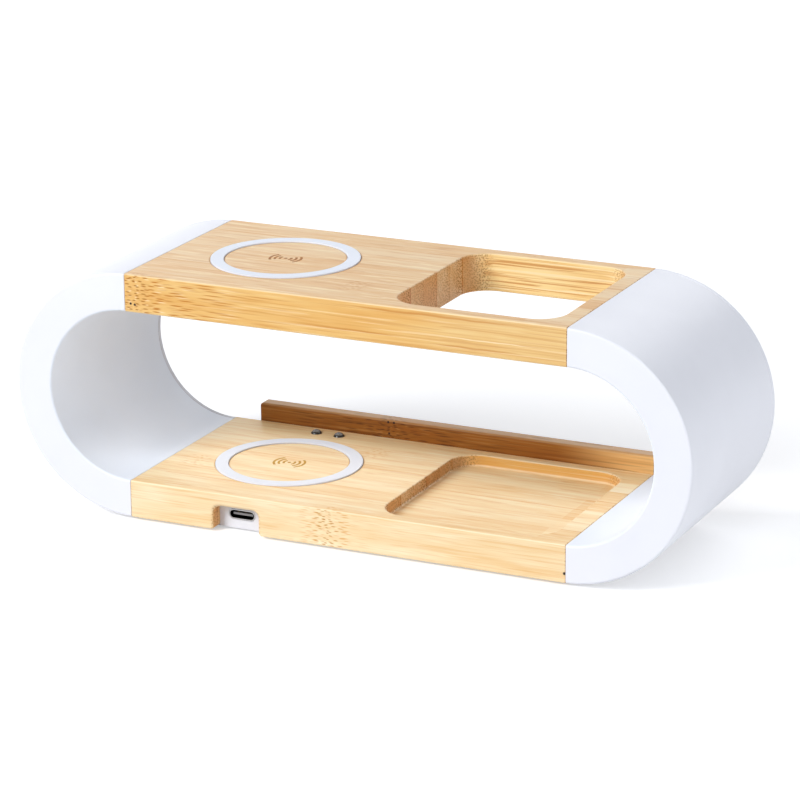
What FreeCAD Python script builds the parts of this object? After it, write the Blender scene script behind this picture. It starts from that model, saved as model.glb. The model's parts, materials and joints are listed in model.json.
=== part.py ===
import FreeCAD, Part
import math
import os
import re
import Sketcher

# Charging station organizer: two bamboo boards one above the other, joined at both ends by
# hollow white bows, with a charging place on the left of each board, a window over a tray on
# the right, and a stop rail along the back of the lower board.
#
# Frame: +X to the right along the boards, +Y to the back, +Z up. The origin is at the middle of
# the whole outline, on the surface that the feet stand on. Sizes are in millimetres.

SIZES = {
    # the two boards and the loop that they make with the bows
    "board_length": 145.0,
    "board_depth": 70.5,
    "board_thickness": 12.0,
    "stack_height": 78.0,
    "board_round": 0.6,
    "seam_ease": 0.3,
    # window through the upper board, from the left end, from the right end and from the long edges
    "window_start": 86.1,
    "window_margin": 5.5,
    "window_border": 4.7,
    "window_corner": 9.0,
    # tray sunk into the lower board, placed in the same way
    "tray_start": 81.9,
    "tray_margin": 6.8,
    "tray_border": 4.25,
    "tray_corner": 8.5,
    "tray_depth": 3.7,
    "tray_cove": 0.8,
    "rim_round": 0.5,
    # charging places: the ring let into the deck, the pocket under it
    "pocket_margin": 4.0,
    "ring_bore": 38.0,
    "ring_width": 4.1,
    "ring_seat": 1.0,
    "ring_proud": 0.4,
    "ring_round": 0.15,
    "ring_fit": 0.2,
    "deck_skin": 2.5,
    "front_wall": 4.2,
    "back_wall": 2.3,
    "pocket_corner": 4.0,
    "pocket_gap": 0.5,
    "ledge_width": 5.5,
    "coil_diameter": 43.0,
    "coil_bore": 20.0,
    "coil_thickness": 1.0,
    "ferrite_diameter": 46.0,
    "ferrite_thickness": 0.8,
    # tongues of the bows in the ends of the boards
    "tongue_shoulder": 4.5,
    "tongue_height": 5.0,
    "tongue_length": 3.8,
    "tongue_fit": 0.1,
    # hollow bows and their back covers
    "bow_wall": 2.0,
    "bow_round": 0.8,
    "bow_cover_thickness": 2.0,
    "bow_step": 1.5,
    "bow_fit": 0.1,
    # rail behind the lower board, and the dowels that hold it
    "rail_thickness": 5.0,
    "rail_rise": 5.8,
    "rail_inset": 8.9,
    "rail_round": 0.8,
    "dowel_diameter": 4.0,
    "dowel_length": 11.0,
    "dowel_in_rail": 3.5,
    "dowel_height": 4.5,
    "dowel_edge": 6.0,
    "dowel_point": 0.5,
    "dowel_fit": 0.1,
    # covers of the pockets and their screws
    "cover_thickness": 1.8,
    "cover_fit": 0.15,
    "screw_from_end": 15.0,
    "screw_head": 4.2,
    "screw_head_height": 1.0,
    "screw_crown": 0.3,
    "screw_shank": 2.2,
    "screw_length": 6.0,
    "screw_point": 1.2,
    "screw_fit": 0.1,
    "press_post": 4.0,
    "press_post_pitch": 26.0,
    # port notch in the front edge and the wall behind it
    "port_shift": 0.7,
    "notch_width": 15.1,
    "notch_height": 7.7,
    "notch_round": 2.0,
    "notch_flare": 1.2,
    "port_wall": 1.5,
    "port_lap": 2.0,
    # power inlet
    "usb_width": 8.94,
    "usb_height": 3.16,
    "usb_sheet": 0.3,
    "usb_length": 7.3,
    "usb_recess": 0.2,
    "usb_center": 4.45,
    "usb_sink": 0.8,
    "usb_fit": 0.15,
    "usb_tongue_width": 6.7,
    "usb_tongue_thickness": 0.7,
    "usb_tongue_setback": 0.8,
    "usb_base_length": 2.0,
    # main circuit board, its posts and what stands on it
    "pcb_thickness": 1.0,
    "pcb_gap": 1.0,
    "post_diameter": 4.0,
    "post_inset": 4.0,
    "post_pitch": 28.0,
    "pin_diameter": 2.0,
    "pin_rise": 0.5,
    "pin_fit": 0.1,
    "chip_side": 5.0,
    "chip_height": 0.9,
    "inductor_side": 4.2,
    "inductor_height": 1.5,
    "capacitor_length": 3.2,
    "capacitor_width": 1.6,
    "capacitor_height": 1.2,
    # charging lights
    "light_shift": 1.5,
    "light_pitch": 8.0,
    "light_back": 5.1,
    "light_diameter": 3.5,
    "light_proud": 1.25,
    "light_collar": 5.0,
    "light_collar_height": 0.8,
    "light_fit": 0.1,
    "light_air": 0.2,
    "led_length": 2.8,
    "led_width": 2.0,
    "led_height": 0.8,
    # lead through the left bow, with a plug and a socket at each end
    "lead_diameter": 1.8,
    "lead_hole": 3.0,
    "lead_from_back": 8.0,
    "plug_gap": 1.0,
    "plug_length": 4.0,
    "plug_width": 5.0,
    "plug_height": 2.2,
    "plug_nose": 2.5,
    "plug_fit": 0.1,
    "socket_length": 5.5,
    "socket_wall": 0.6,
    "terminal_length": 7.5,
    "terminal_width": 8.0,
    # feet let into the underside of the lower board
    "foot_diameter": 6.0,
    "foot_thickness": 1.6,
    "foot_proud": 0.8,
    "foot_round": 0.4,
    "foot_edge": 7.0,
    "foot_fit": 0.1,
    # how far a cut runs past the face that it leaves by
    "overrun": 1.0,
}

# Places and sizes that follow from the ones above.
PLACES = {
    "deck_y": "-rail_thickness / 2",
    "lower_z": "foot_proud",
    "upper_z": "foot_proud + stack_height - board_thickness",
    "seam_x": "board_length / 2",
    "half_depth": "board_depth / 2",
    "half_thickness": "board_thickness / 2",
    "mid_z": "foot_proud + stack_height / 2",
    "bow_outer": "stack_height / 2",
    "bow_inner": "bow_outer - board_thickness",
    "bow_middle": "bow_outer - board_thickness / 2",
    "bow_cavity_outer": "bow_outer - bow_wall",
    "bow_cavity_inner": "bow_inner + bow_wall",
    "bow_step_outer": "bow_cavity_outer - bow_fit",
    "bow_step_inner": "bow_cavity_inner + bow_fit",
    "bow_depth": "board_depth - bow_cover_thickness",
    "bow_end_height": "board_thickness - bow_wall",
    "bow_end_depth": "bow_depth - bow_wall / 2 - bow_step - bow_fit",
    "bow_end_y": "(bow_end_depth + bow_wall - board_depth) / 2",
    "tongue_width": "board_depth - 2 * tongue_shoulder",
    "tongue_slot_width": "tongue_width + 2 * tongue_fit",
    "tongue_slot_height": "tongue_height + 2 * tongue_fit",
    "tongue_slot_length": "tongue_length + 2 * tongue_fit",
    "window_length": "board_length - window_start - window_margin",
    "window_width": "board_depth - 2 * window_border",
    "window_x": "(window_start - window_margin) / 2",
    "tray_length": "board_length - tray_start - tray_margin",
    "tray_width": "board_depth - 2 * tray_border",
    "tray_x": "(tray_start - tray_margin) / 2",
    "charge_inset": "tongue_slot_length + pocket_margin + rebate_length / 2",
    "charge_x": "charge_inset - seam_x",
    "ring_diameter": "ring_bore + 2 * ring_width",
    "groove_diameter": "ring_diameter + 2 * ring_fit",
    "groove_bore": "ring_bore - 2 * ring_fit",
    "pocket_length": "ferrite_diameter + 2 * pocket_gap",
    "pocket_width": "board_depth - front_wall - back_wall",
    "pocket_y": "(front_wall - back_wall) / 2",
    "pocket_front": "front_wall - half_depth",
    "pocket_height": "board_thickness - deck_skin",
    "rebate_length": "pocket_length + 2 * ledge_width",
    "cover_length": "rebate_length - 2 * cover_fit",
    "cover_width": "pocket_width - 2 * cover_fit",
    "cover_corner": "pocket_corner - cover_fit",
    "screw_pitch_x": "pocket_length + ledge_width",
    "screw_pitch_y": "pocket_width - 2 * screw_from_end",
    "screw_head_hole": "screw_head + 2 * screw_fit",
    "screw_hole": "screw_shank + 2 * screw_fit",
    "screw_depth": "screw_head_height + screw_length + screw_fit",
    "ferrite_z": "pocket_height - coil_thickness - ferrite_thickness",
    "port_x": "charge_x - port_shift",
    "notch_double_height": "2 * notch_height",
    "port_wall_width": "notch_width + 2 * port_lap",
    "port_wall_height": "pocket_height - cover_fit",
    "usb_hole_width": "usb_width + 2 * usb_fit",
    "usb_hole_height": "usb_height + 2 * usb_fit",
    "usb_bore_width": "usb_width - 2 * usb_sheet",
    "usb_bore_height": "usb_height - 2 * usb_sheet",
    "usb_front": "pocket_front + usb_recess",
    "pcb_top": "usb_center - usb_height / 2 + usb_sink",
    "pcb_bottom": "pcb_top - pcb_thickness",
    "pcb_length": "pocket_length - 2 * pcb_gap",
    "pcb_width": "pocket_width - port_wall - 2 * pcb_gap",
    "pcb_y": "pocket_y + port_wall / 2",
    "pcb_corner": "pocket_corner - pcb_gap",
    "pcb_slot_depth": "usb_front + usb_length + usb_fit - pcb_y + pcb_width / 2",
    "post_pitch_x": "pcb_length - 2 * post_inset",
    "pin_hole": "pin_diameter + 2 * pin_fit",
    "light_x": "charge_x - light_shift",
    "light_y": "half_depth - light_back",
    "light_hole": "light_diameter + 2 * light_fit",
    "light_foot": "pcb_top + led_height + light_air",
    "lead_offset": "half_depth - lead_from_back",
    "plug_x": "charge_x - pocket_length / 2 + plug_gap",
    "lead_run": "plug_x + seam_x",
    "socket_x": "plug_x + plug_length - plug_nose",
    "rail_length": "board_length - rail_inset",
    "rail_height": "board_thickness + rail_rise",
    "dowel_hole": "dowel_diameter + 2 * dowel_fit",
    "dowel_tip": "dowel_diameter - 2 * dowel_point",
    "dowel_first": "charge_x + rebate_length / 2 + dowel_edge",
    "dowel_span": "seam_x - dowel_edge - dowel_first",
    "foot_x": "seam_x - (tongue_slot_length + pocket_margin) / 2",
    "foot_y": "half_depth - foot_edge",
    "foot_pitch_x": "2 * foot_x",
    "foot_pitch_y": "2 * foot_y",
    "foot_seat": "foot_thickness - foot_proud",
    "foot_hole": "foot_diameter + 2 * foot_fit",
}

# Middles of the parts on the main circuit board, as shares of its length and width from its middle.
CHIP_PLACE_SHARES = [(0.02, -0.10), (0.22, 0.12), (-0.20, 0.10)]
INDUCTOR_PLACE_SHARES = [(0.30, -0.32), (-0.30, -0.32)]
CAPACITOR_PLACE_SHARES = [(0.14, -0.25), (-0.14, -0.25), (0.30, 0.30), (0.16, 0.30)]

DOWEL_COUNT = 3
FULL_TURN = 360.0
SQUARE = 90.0
NEARLY = 1e-4
CORNERS = [(-1, -1), (1, -1), (1, 1), (-1, 1)]
CORNER_WORDS = {(-1, -1): "front_left", (1, -1): "front_right", (1, 1): "back_right", (-1, 1): "back_left"}

doc = FreeCAD.newDocument("charging_station")
pieces = []


def formula(text, own_sheet=False):
    """Point every name in a formula at the sheet that holds it."""
    def full_name(match):
        word = match.group(0)
        if word in SIZES:
            return "Sizes." + word
        if word in PLACES and not own_sheet:
            return "Places." + word
        return word
    return re.sub(r"[a-z][a-z_]*", full_name, text)


def fill_sheet(name, cells):
    sheet = doc.addObject("Spreadsheet::Sheet", name)
    for row, (alias, content) in enumerate(cells.items(), start=1):
        sheet.set("A" + str(row), alias)
        sheet.set("B" + str(row), content)
        sheet.setAlias("B" + str(row), alias)
    doc.recompute()
    return sheet


sizes = fill_sheet("Sizes", {alias: str(number) for alias, number in SIZES.items()})
places = fill_sheet("Places", {alias: "=" + formula(text, True) for alias, text in PLACES.items()})


def value(name):
    """Read one named size or place from its sheet."""
    sheet = sizes if name in SIZES else places
    return float(sheet.get(name))


def bind(thing, path, text):
    thing.setExpression(path, formula(text))


def place(thing, x=None, y=None, z=None):
    for axis, text in zip("xyz", (x, y, z)):
        if text:
            bind(thing, "Placement.Base." + axis, text)


def new_body(label, x=None, y=None, z=None):
    body = doc.addObject("PartDesign::Body", label)
    body.Label = label
    place(body, x, y, z)
    pieces.append(body)
    return body


def new_sketch(body, role, x=None, y=None, z=None):
    """Open a sketch on one of the body's own planes, shifted along the plane (x, y) and off it (z)."""
    sketch = body.newObject("Sketcher::SketchObject", body.Name + "_sketch")
    plane = next(feature for feature in body.Origin.OriginFeatures if feature.Role == role)
    sketch.AttachmentSupport = [(plane, "")]
    sketch.MapMode = "FlatFace"
    for axis, text in zip("xyz", (x, y, z)):
        if text:
            bind(sketch, "AttachmentOffset.Base." + axis, text)
    return sketch


def dimension(sketch, kind, where, number, text):
    index = sketch.addConstraint(Sketcher.Constraint(kind, *where, number))
    bind(sketch, "Constraints[" + str(index) + "]", text)


def point(x, y):
    return FreeCAD.Vector(x, y, 0)


def line(sketch, start, end):
    return sketch.addGeometry(Part.LineSegment(point(*start), point(*end)))


def arc(sketch, center, radius, start_angle, end_angle):
    circle = Part.Circle(point(*center), FreeCAD.Vector(0, 0, 1), radius)
    return sketch.addGeometry(Part.ArcOfCircle(circle, math.radians(start_angle), math.radians(end_angle)))


def rectangle(sketch, length, width):
    """Draw a square-cornered rectangle about the sketch's origin."""
    half_x = value(length) / 2
    half_y = value(width) / 2
    corners = [(half_x * x, half_y * y) for x, y in CORNERS]
    sides = [line(sketch, corners[i], corners[(i + 1) % len(corners)]) for i in range(len(corners))]
    for i, side in enumerate(sides):
        sketch.addConstraint(Sketcher.Constraint("Coincident", side, 2, sides[(i + 1) % len(sides)], 1))
        sketch.addConstraint(Sketcher.Constraint("Vertical" if i % 2 else "Horizontal", side))
    sketch.addConstraint(Sketcher.Constraint("Symmetric", sides[0], 1, sides[2], 1, -1, 1))
    dimension(sketch, "DistanceX", (sides[0], 1, sides[0], 2), value(length), length)
    dimension(sketch, "DistanceY", (sides[1], 1, sides[1], 2), value(width), width)


def rounded_rectangle(sketch, length, width, corner):
    """Draw a rectangle with round corners about the sketch's origin."""
    half_x = value(length) / 2
    half_y = value(width) / 2
    radius = value(corner)
    flat_x = half_x - radius
    flat_y = half_y - radius
    sides = [
        line(sketch, (-flat_x, -half_y), (flat_x, -half_y)),
        line(sketch, (half_x, -flat_y), (half_x, flat_y)),
        line(sketch, (flat_x, half_y), (-flat_x, half_y)),
        line(sketch, (-half_x, flat_y), (-half_x, -flat_y)),
    ]
    turns = [
        arc(sketch, (flat_x * x, flat_y * y), radius, SQUARE * (i - 1), SQUARE * i)
        for i, (x, y) in enumerate([(1, -1), (1, 1), (-1, 1), (-1, -1)])
    ]
    for i, side in enumerate(sides):
        sketch.addConstraint(Sketcher.Constraint("Tangent", side, 2, turns[i], 1))
        sketch.addConstraint(Sketcher.Constraint("Tangent", turns[i], 2, sides[(i + 1) % len(sides)], 1))
        sketch.addConstraint(Sketcher.Constraint("Vertical" if i % 2 else "Horizontal", side))
    for turn in turns[1:]:
        sketch.addConstraint(Sketcher.Constraint("Equal", turns[0], turn))
    sketch.addConstraint(Sketcher.Constraint("Symmetric", sides[0], 1, sides[2], 1, -1, 1))
    dimension(sketch, "Radius", (turns[0],), radius, corner)
    dimension(sketch, "DistanceX", (sides[3], 1, sides[1], 1), value(length), length)
    dimension(sketch, "DistanceY", (sides[0], 1, sides[2], 1), value(width), width)


def round_ended(sketch, length, height):
    """Draw a slot outline with half-round ends about the sketch's origin, lying along its X axis."""
    radius = value(height) / 2
    flat = value(length) / 2 - radius
    below = line(sketch, (-flat, -radius), (flat, -radius))
    right = arc(sketch, (flat, 0), radius, -SQUARE, SQUARE)
    above = line(sketch, (flat, radius), (-flat, radius))
    left = arc(sketch, (-flat, 0), radius, SQUARE, 3 * SQUARE)
    ring = [below, right, above, left]
    for i, part in enumerate(ring):
        sketch.addConstraint(Sketcher.Constraint("Tangent", part, 2, ring[(i + 1) % len(ring)], 1))
    sketch.addConstraint(Sketcher.Constraint("Horizontal", below))
    sketch.addConstraint(Sketcher.Constraint("Equal", right, left))
    sketch.addConstraint(Sketcher.Constraint("Symmetric", below, 1, above, 1, -1, 1))
    dimension(sketch, "Radius", (right,), radius, height + " / 2")
    dimension(sketch, "DistanceX", (below, 1, below, 2), 2 * flat, length + " - " + height)


def half_ring(sketch, outer, inner, side):
    """Draw half a flat ring round the sketch's origin, on the right (side 1) or the left (side -1)."""
    first_angle = -SQUARE if side > 0 else SQUARE
    arcs = []
    for name in (outer, inner):
        curve = arc(sketch, (0, 0), value(name), first_angle, first_angle + 2 * SQUARE)
        sketch.addConstraint(Sketcher.Constraint("Coincident", curve, 3, -1, 1))
        sketch.addConstraint(Sketcher.Constraint("PointOnObject", curve, 1, -2))
        sketch.addConstraint(Sketcher.Constraint("PointOnObject", curve, 2, -2))
        dimension(sketch, "Radius", (curve,), value(name), name)
        arcs.append(curve)
    for end, sign in ((1, -side), (2, side)):
        joint = line(sketch, (0, sign * value(outer)), (0, sign * value(inner)))
        sketch.addConstraint(Sketcher.Constraint("Coincident", joint, 1, arcs[0], end))
        sketch.addConstraint(Sketcher.Constraint("Coincident", joint, 2, arcs[1], end))


def circle(sketch, diameter):
    """Draw a circle round the sketch's origin."""
    hole = sketch.addGeometry(Part.Circle(point(0, 0), FreeCAD.Vector(0, 0, 1), value(diameter) / 2))
    sketch.addConstraint(Sketcher.Constraint("Coincident", hole, 3, -1, 1))
    dimension(sketch, "Diameter", (hole,), value(diameter), diameter)


def corner_circles(sketch, diameter, pitch_x, pitch_y):
    """Draw four equal circles at the corners of a rectangle about the sketch's origin."""
    half_x = value(pitch_x) / 2
    half_y = value(pitch_y) / 2
    radius = value(diameter) / 2
    upward = FreeCAD.Vector(0, 0, 1)
    holes = [sketch.addGeometry(Part.Circle(point(half_x * x, half_y * y), upward, radius)) for x, y in CORNERS]
    for hole in holes[1:]:
        sketch.addConstraint(Sketcher.Constraint("Equal", holes[0], hole))
    sketch.addConstraint(Sketcher.Constraint("Symmetric", holes[0], 3, holes[1], 3, -2))
    sketch.addConstraint(Sketcher.Constraint("Symmetric", holes[0], 3, holes[2], 3, -1, 1))
    sketch.addConstraint(Sketcher.Constraint("Symmetric", holes[0], 3, holes[3], 3, -1))
    dimension(sketch, "Diameter", (holes[0],), value(diameter), diameter)
    dimension(sketch, "DistanceX", (holes[0], 3, holes[1], 3), value(pitch_x), pitch_x)
    dimension(sketch, "DistanceY", (holes[1], 3, holes[2], 3), value(pitch_y), pitch_y)


def circle_pair(sketch, diameter, pitch):
    """Draw two equal circles beside each other, half a pitch either side of the sketch's origin."""
    half = value(pitch) / 2
    radius = value(diameter) / 2
    upward = FreeCAD.Vector(0, 0, 1)
    holes = [sketch.addGeometry(Part.Circle(point(half * side, 0), upward, radius)) for side in (-1, 1)]
    sketch.addConstraint(Sketcher.Constraint("Equal", *holes))
    sketch.addConstraint(Sketcher.Constraint("Symmetric", holes[0], 3, holes[1], 3, -1, 1))
    sketch.addConstraint(Sketcher.Constraint("PointOnObject", holes[0], 3, -1))
    dimension(sketch, "Diameter", (holes[0],), value(diameter), diameter)
    dimension(sketch, "DistanceX", (holes[0], 3, holes[1], 3), value(pitch), pitch)


def pad(body, sketch, length, reverse=False):
    feature = body.newObject("PartDesign::Pad", body.Name + "_pad")
    feature.Profile = sketch
    feature.Reversed = reverse
    bind(feature, "Length", length)
    doc.recompute()
    return feature


def cut(body, sketch, depth, reverse=False):
    """Cut a pocket against the sketch plane's normal, or along it when reversed."""
    volume = body.Tip.Shape.Volume
    feature = body.newObject("PartDesign::Pocket", body.Name + "_pocket")
    feature.Profile = sketch
    feature.Reversed = reverse
    bind(feature, "Length", depth)
    doc.recompute()
    if not body.Tip.Shape.Volume < volume:
        raise RuntimeError("a pocket of " + body.Label + " takes nothing away")
    return feature


def round_edges(body, radius, wanted):
    """Round every edge of the body that the test picks out."""
    base = body.Tip
    names = ["Edge" + str(i) for i, edge in enumerate(base.Shape.Edges, start=1) if wanted(edge)]
    feature = body.newObject("PartDesign::Fillet", body.Name + "_round")
    feature.Base = (base, names)
    bind(feature, "Radius", radius)
    doc.recompute()


def at_height(edge, height):
    box = edge.BoundBox
    return abs(box.ZMin - height) < NEARLY and abs(box.ZMax - height) < NEARLY


def runs_along_x(edge):
    box = edge.BoundBox
    return box.YLength < NEARLY and box.ZLength < NEARLY


def runs_along_y(edge):
    box = edge.BoundBox
    return box.XLength < NEARLY and box.ZLength < NEARLY


def in_rectangle(edge, middle_x, length, width):
    """Tell whether an edge lies within a rectangle that is centred on the board's long axis."""
    box = edge.BoundBox
    reach_x = max(abs(box.XMin - value(middle_x)), abs(box.XMax - value(middle_x)))
    reach_y = max(abs(box.YMin), abs(box.YMax))
    return reach_x < value(length) / 2 + NEARLY and reach_y < value(width) / 2 + NEARLY


def round_curve(edge):
    return edge.Curve.TypeId == "Part::GeomCircle"


def lies_across_x(edge, x):
    """Tell whether an edge lies in the upright plane across the boards at this X."""
    box = edge.BoundBox
    return abs(box.XMin - x) < NEARLY and abs(box.XMax - x) < NEARLY


def lies_across_y(edge, y):
    """Tell whether an edge lies in the upright plane along the boards at this Y."""
    box = edge.BoundBox
    return abs(box.YMin - y) < NEARLY and abs(box.YMax - y) < NEARLY


def board(label, z):
    """Make what both boards share: ring groove, coil pocket, cover seat, tongue slots and lead hole."""
    body = new_body(label, y="deck_y", z=z)
    outline = new_sketch(body, "XY_Plane")
    rectangle(outline, "board_length", "board_depth")
    pad(body, outline, "board_thickness")
    round_edges(body, "board_round", runs_along_x)
    reach = value("seam_x")
    round_edges(body, "seam_ease", lambda edge: lies_across_x(edge, reach) or lies_across_x(edge, -reach))

    groove = new_sketch(body, "XY_Plane", x="charge_x", z="board_thickness")
    circle(groove, "groove_diameter")
    circle(groove, "groove_bore")
    cut(body, groove, "ring_seat")

    pocket = new_sketch(body, "XY_Plane", x="charge_x", y="pocket_y")
    rounded_rectangle(pocket, "pocket_length", "pocket_width", "pocket_corner")
    cut(body, pocket, "pocket_height", reverse=True)

    seat = new_sketch(body, "XY_Plane", x="charge_x", y="pocket_y")
    rounded_rectangle(seat, "rebate_length", "pocket_width", "pocket_corner")
    cut(body, seat, "cover_thickness", reverse=True)

    screws = new_sketch(body, "XY_Plane", x="charge_x", y="pocket_y")
    corner_circles(screws, "screw_hole", "screw_pitch_x", "screw_pitch_y")
    cut(body, screws, "screw_depth", reverse=True)

    for end, shift in ((1, "seam_x"), (-1, "-seam_x")):
        slot = new_sketch(body, "YZ_Plane", y="half_thickness", z=shift)
        round_ended(slot, "tongue_slot_width", "tongue_slot_height")
        cut(body, slot, "tongue_slot_length", reverse=end < 0)

    lead_hole = new_sketch(body, "YZ_Plane", x="lead_offset", y="half_thickness", z="-seam_x")
    circle(lead_hole, "lead_hole")
    cut(body, lead_hole, "charge_inset - pocket_length / 2 + overrun", reverse=True)
    return body


def upper_board():
    body = board("upper_board", "upper_z")
    window = new_sketch(body, "XY_Plane", x="window_x", z="board_thickness")
    rounded_rectangle(window, "window_length", "window_width", "window_corner")
    cut(body, window, "board_thickness + overrun")

    def window_rim(edge):
        level = at_height(edge, 0) or at_height(edge, value("board_thickness"))
        return level and in_rectangle(edge, "window_x", "window_length", "window_width")

    round_edges(body, "rim_round", window_rim)


def lower_board():
    body = board("lower_board", "lower_z")
    tray = new_sketch(body, "XY_Plane", x="tray_x", z="board_thickness")
    rounded_rectangle(tray, "tray_length", "tray_width", "tray_corner")
    cut(body, tray, "tray_depth")

    def in_tray(edge, height):
        return at_height(edge, height) and in_rectangle(edge, "tray_x", "tray_length", "tray_width")

    deck = value("board_thickness")
    tray_floor = deck - value("tray_depth")
    round_edges(body, "tray_cove", lambda edge: in_tray(edge, tray_floor))
    round_edges(body, "rim_round", lambda edge: in_tray(edge, deck))

    lights = new_sketch(body, "XY_Plane", x="light_x", y="light_y", z="board_thickness")
    circle_pair(lights, "light_hole", "light_pitch")
    cut(body, lights, "deck_skin + overrun")

    feet = new_sketch(body, "XY_Plane")
    corner_circles(feet, "foot_hole", "foot_pitch_x", "foot_pitch_y")
    cut(body, feet, "foot_seat", reverse=True)

    dowel = new_sketch(body, "XZ_Plane", x="dowel_first", y="dowel_height", z="-half_depth")
    circle(dowel, "dowel_hole")
    hole = cut(body, dowel, "dowel_length - dowel_in_rail + dowel_fit", reverse=True)
    dowel_row(body, hole, dowel)

    notch = new_sketch(body, "XZ_Plane", x="port_x", z="half_depth")
    rounded_rectangle(notch, "notch_width", "notch_double_height", "notch_round")
    cut(body, notch, "front_wall + overrun")

    def notch_foot(edge):
        box = edge.BoundBox
        beside = abs(abs(box.Center.x - value("port_x")) - value("notch_width") / 2) < NEARLY
        return beside and runs_along_y(edge) and at_height(edge, 0)

    round_edges(body, "notch_flare", notch_foot)


def dowel_row(body, hole, sketch):
    """Repeat one dowel hole along the back of the piece."""
    row = body.newObject("PartDesign::LinearPattern", body.Name + "_row")
    row.Originals = [hole]
    row.Direction = (sketch, ["H_Axis"])
    bind(row, "Length", "dowel_span")
    row.Occurrences = DOWEL_COUNT
    body.Tip = row
    doc.recompute()


def ring(label, z):
    """White ring that lies in the groove round a charging place."""
    body = new_body(label, "charge_x", "deck_y", z + " + board_thickness - ring_seat")
    section = new_sketch(body, "XY_Plane")
    circle(section, "ring_diameter")
    circle(section, "ring_bore")
    pad(body, section, "ring_seat + ring_proud")
    top = value("ring_seat") + value("ring_proud")
    round_edges(body, "ring_round", lambda edge: at_height(edge, top))


def coil(label, z):
    """Flat winding of the charging coil, against the ceiling of its pocket."""
    body = new_body(label, "charge_x", "deck_y", z + " + pocket_height - coil_thickness")
    section = new_sketch(body, "XY_Plane")
    circle(section, "coil_diameter")
    circle(section, "coil_bore")
    pad(body, section, "coil_thickness")


def ferrite(label, z):
    body = new_body(label, "charge_x", "deck_y", z + " + ferrite_z")
    section = new_sketch(body, "XY_Plane")
    circle(section, "ferrite_diameter")
    pad(body, section, "ferrite_thickness")


def cover_plate(label, z):
    """Plate that closes a pocket from below, with counterbored screw holes."""
    body = new_body(label, "charge_x", "deck_y", z)
    outline = new_sketch(body, "XY_Plane", y="pocket_y")
    rounded_rectangle(outline, "cover_length", "cover_width", "cover_corner")
    pad(body, outline, "cover_thickness")
    heads = new_sketch(body, "XY_Plane", y="pocket_y")
    corner_circles(heads, "screw_head_hole", "screw_pitch_x", "screw_pitch_y")
    cut(body, heads, "screw_head_height", reverse=True)
    shanks = new_sketch(body, "XY_Plane", y="pocket_y")
    corner_circles(shanks, "screw_hole", "screw_pitch_x", "screw_pitch_y")
    cut(body, shanks, "cover_thickness + overrun", reverse=True)
    return body


def upper_cover():
    """Cover under the upper board, with four posts that press the ferrite and coil upwards."""
    body = cover_plate("upper_cover", "upper_z")
    posts = new_sketch(body, "XY_Plane", z="cover_thickness")
    corner_circles(posts, "press_post", "press_post_pitch", "press_post_pitch")
    pad(body, posts, "ferrite_z - cover_thickness")


def bottom_cover():
    """Cover under the lower board, with the port wall and the posts of the circuit board."""
    body = cover_plate("bottom_cover", "lower_z")
    front = "pocket_front + cover_fit"
    wall = new_sketch(body, "XY_Plane", "port_x - charge_x", front + " + port_wall / 2")
    rectangle(wall, "port_wall_width", "port_wall")
    pad(body, wall, "port_wall_height")
    opening = new_sketch(body, "XZ_Plane", "port_x - charge_x", "usb_center", "-(" + front + ")")
    round_ended(opening, "usb_hole_width", "usb_hole_height")
    cut(body, opening, "port_wall + overrun")
    posts = new_sketch(body, "XY_Plane", y="pcb_y", z="cover_thickness")
    corner_circles(posts, "post_diameter", "post_pitch_x", "post_pitch")
    pad(body, posts, "pcb_bottom - cover_thickness")
    pins = new_sketch(body, "XY_Plane", y="pcb_y", z="pcb_bottom")
    corner_circles(pins, "pin_diameter", "post_pitch_x", "post_pitch")
    pad(body, pins, "pcb_thickness + pin_rise")


def main_board():
    body = new_body("main_board", "charge_x", "deck_y + pcb_y", "lower_z + pcb_bottom")
    outline = new_sketch(body, "XY_Plane")
    rounded_rectangle(outline, "pcb_length", "pcb_width", "pcb_corner")
    pad(body, outline, "pcb_thickness")
    pins = new_sketch(body, "XY_Plane")
    corner_circles(pins, "pin_hole", "post_pitch_x", "post_pitch")
    cut(body, pins, "pcb_thickness + overrun", reverse=True)
    slot = new_sketch(body, "XZ_Plane", "port_x - charge_x", "pcb_thickness / 2", "pcb_width / 2")
    rectangle(slot, "usb_hole_width", "usb_hole_height")
    cut(body, slot, "pcb_slot_depth")


def block(label, length, width, height, x, y, z):
    """Plain block whose place is the middle of its foot."""
    thing = doc.addObject("Part::Box", label)
    bind(thing, "Length", length)
    bind(thing, "Width", width)
    bind(thing, "Height", height)
    place(thing, x + " - (" + length + ") / 2", y + " - (" + width + ") / 2", z)
    return thing


def group(label, members):
    """Keep several like solids as one piece."""
    together = doc.addObject("Part::Compound", label)
    together.Label = label
    together.Links = members
    pieces.append(together)


def board_parts(label, shares, length, width, height):
    """Stand a set of like parts on the main circuit board."""
    members = []
    for share_x, share_y in shares:
        x = "charge_x + pcb_length * (" + str(share_x) + ")"
        y = "deck_y + pcb_y + pcb_width * (" + str(share_y) + ")"
        members.append(block(label + "_item", length, width, height, x, y, "lower_z + pcb_top"))
    group(label, members)


def usb_c_shell():
    body = new_body("usb_c_shell", "port_x", "deck_y + usb_front", "lower_z + usb_center")
    outside = new_sketch(body, "XZ_Plane")
    round_ended(outside, "usb_width", "usb_height")
    pad(body, outside, "usb_length", reverse=True)
    inside = new_sketch(body, "XZ_Plane")
    round_ended(inside, "usb_bore_width", "usb_bore_height")
    cut(body, inside, "usb_length + overrun")


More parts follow.
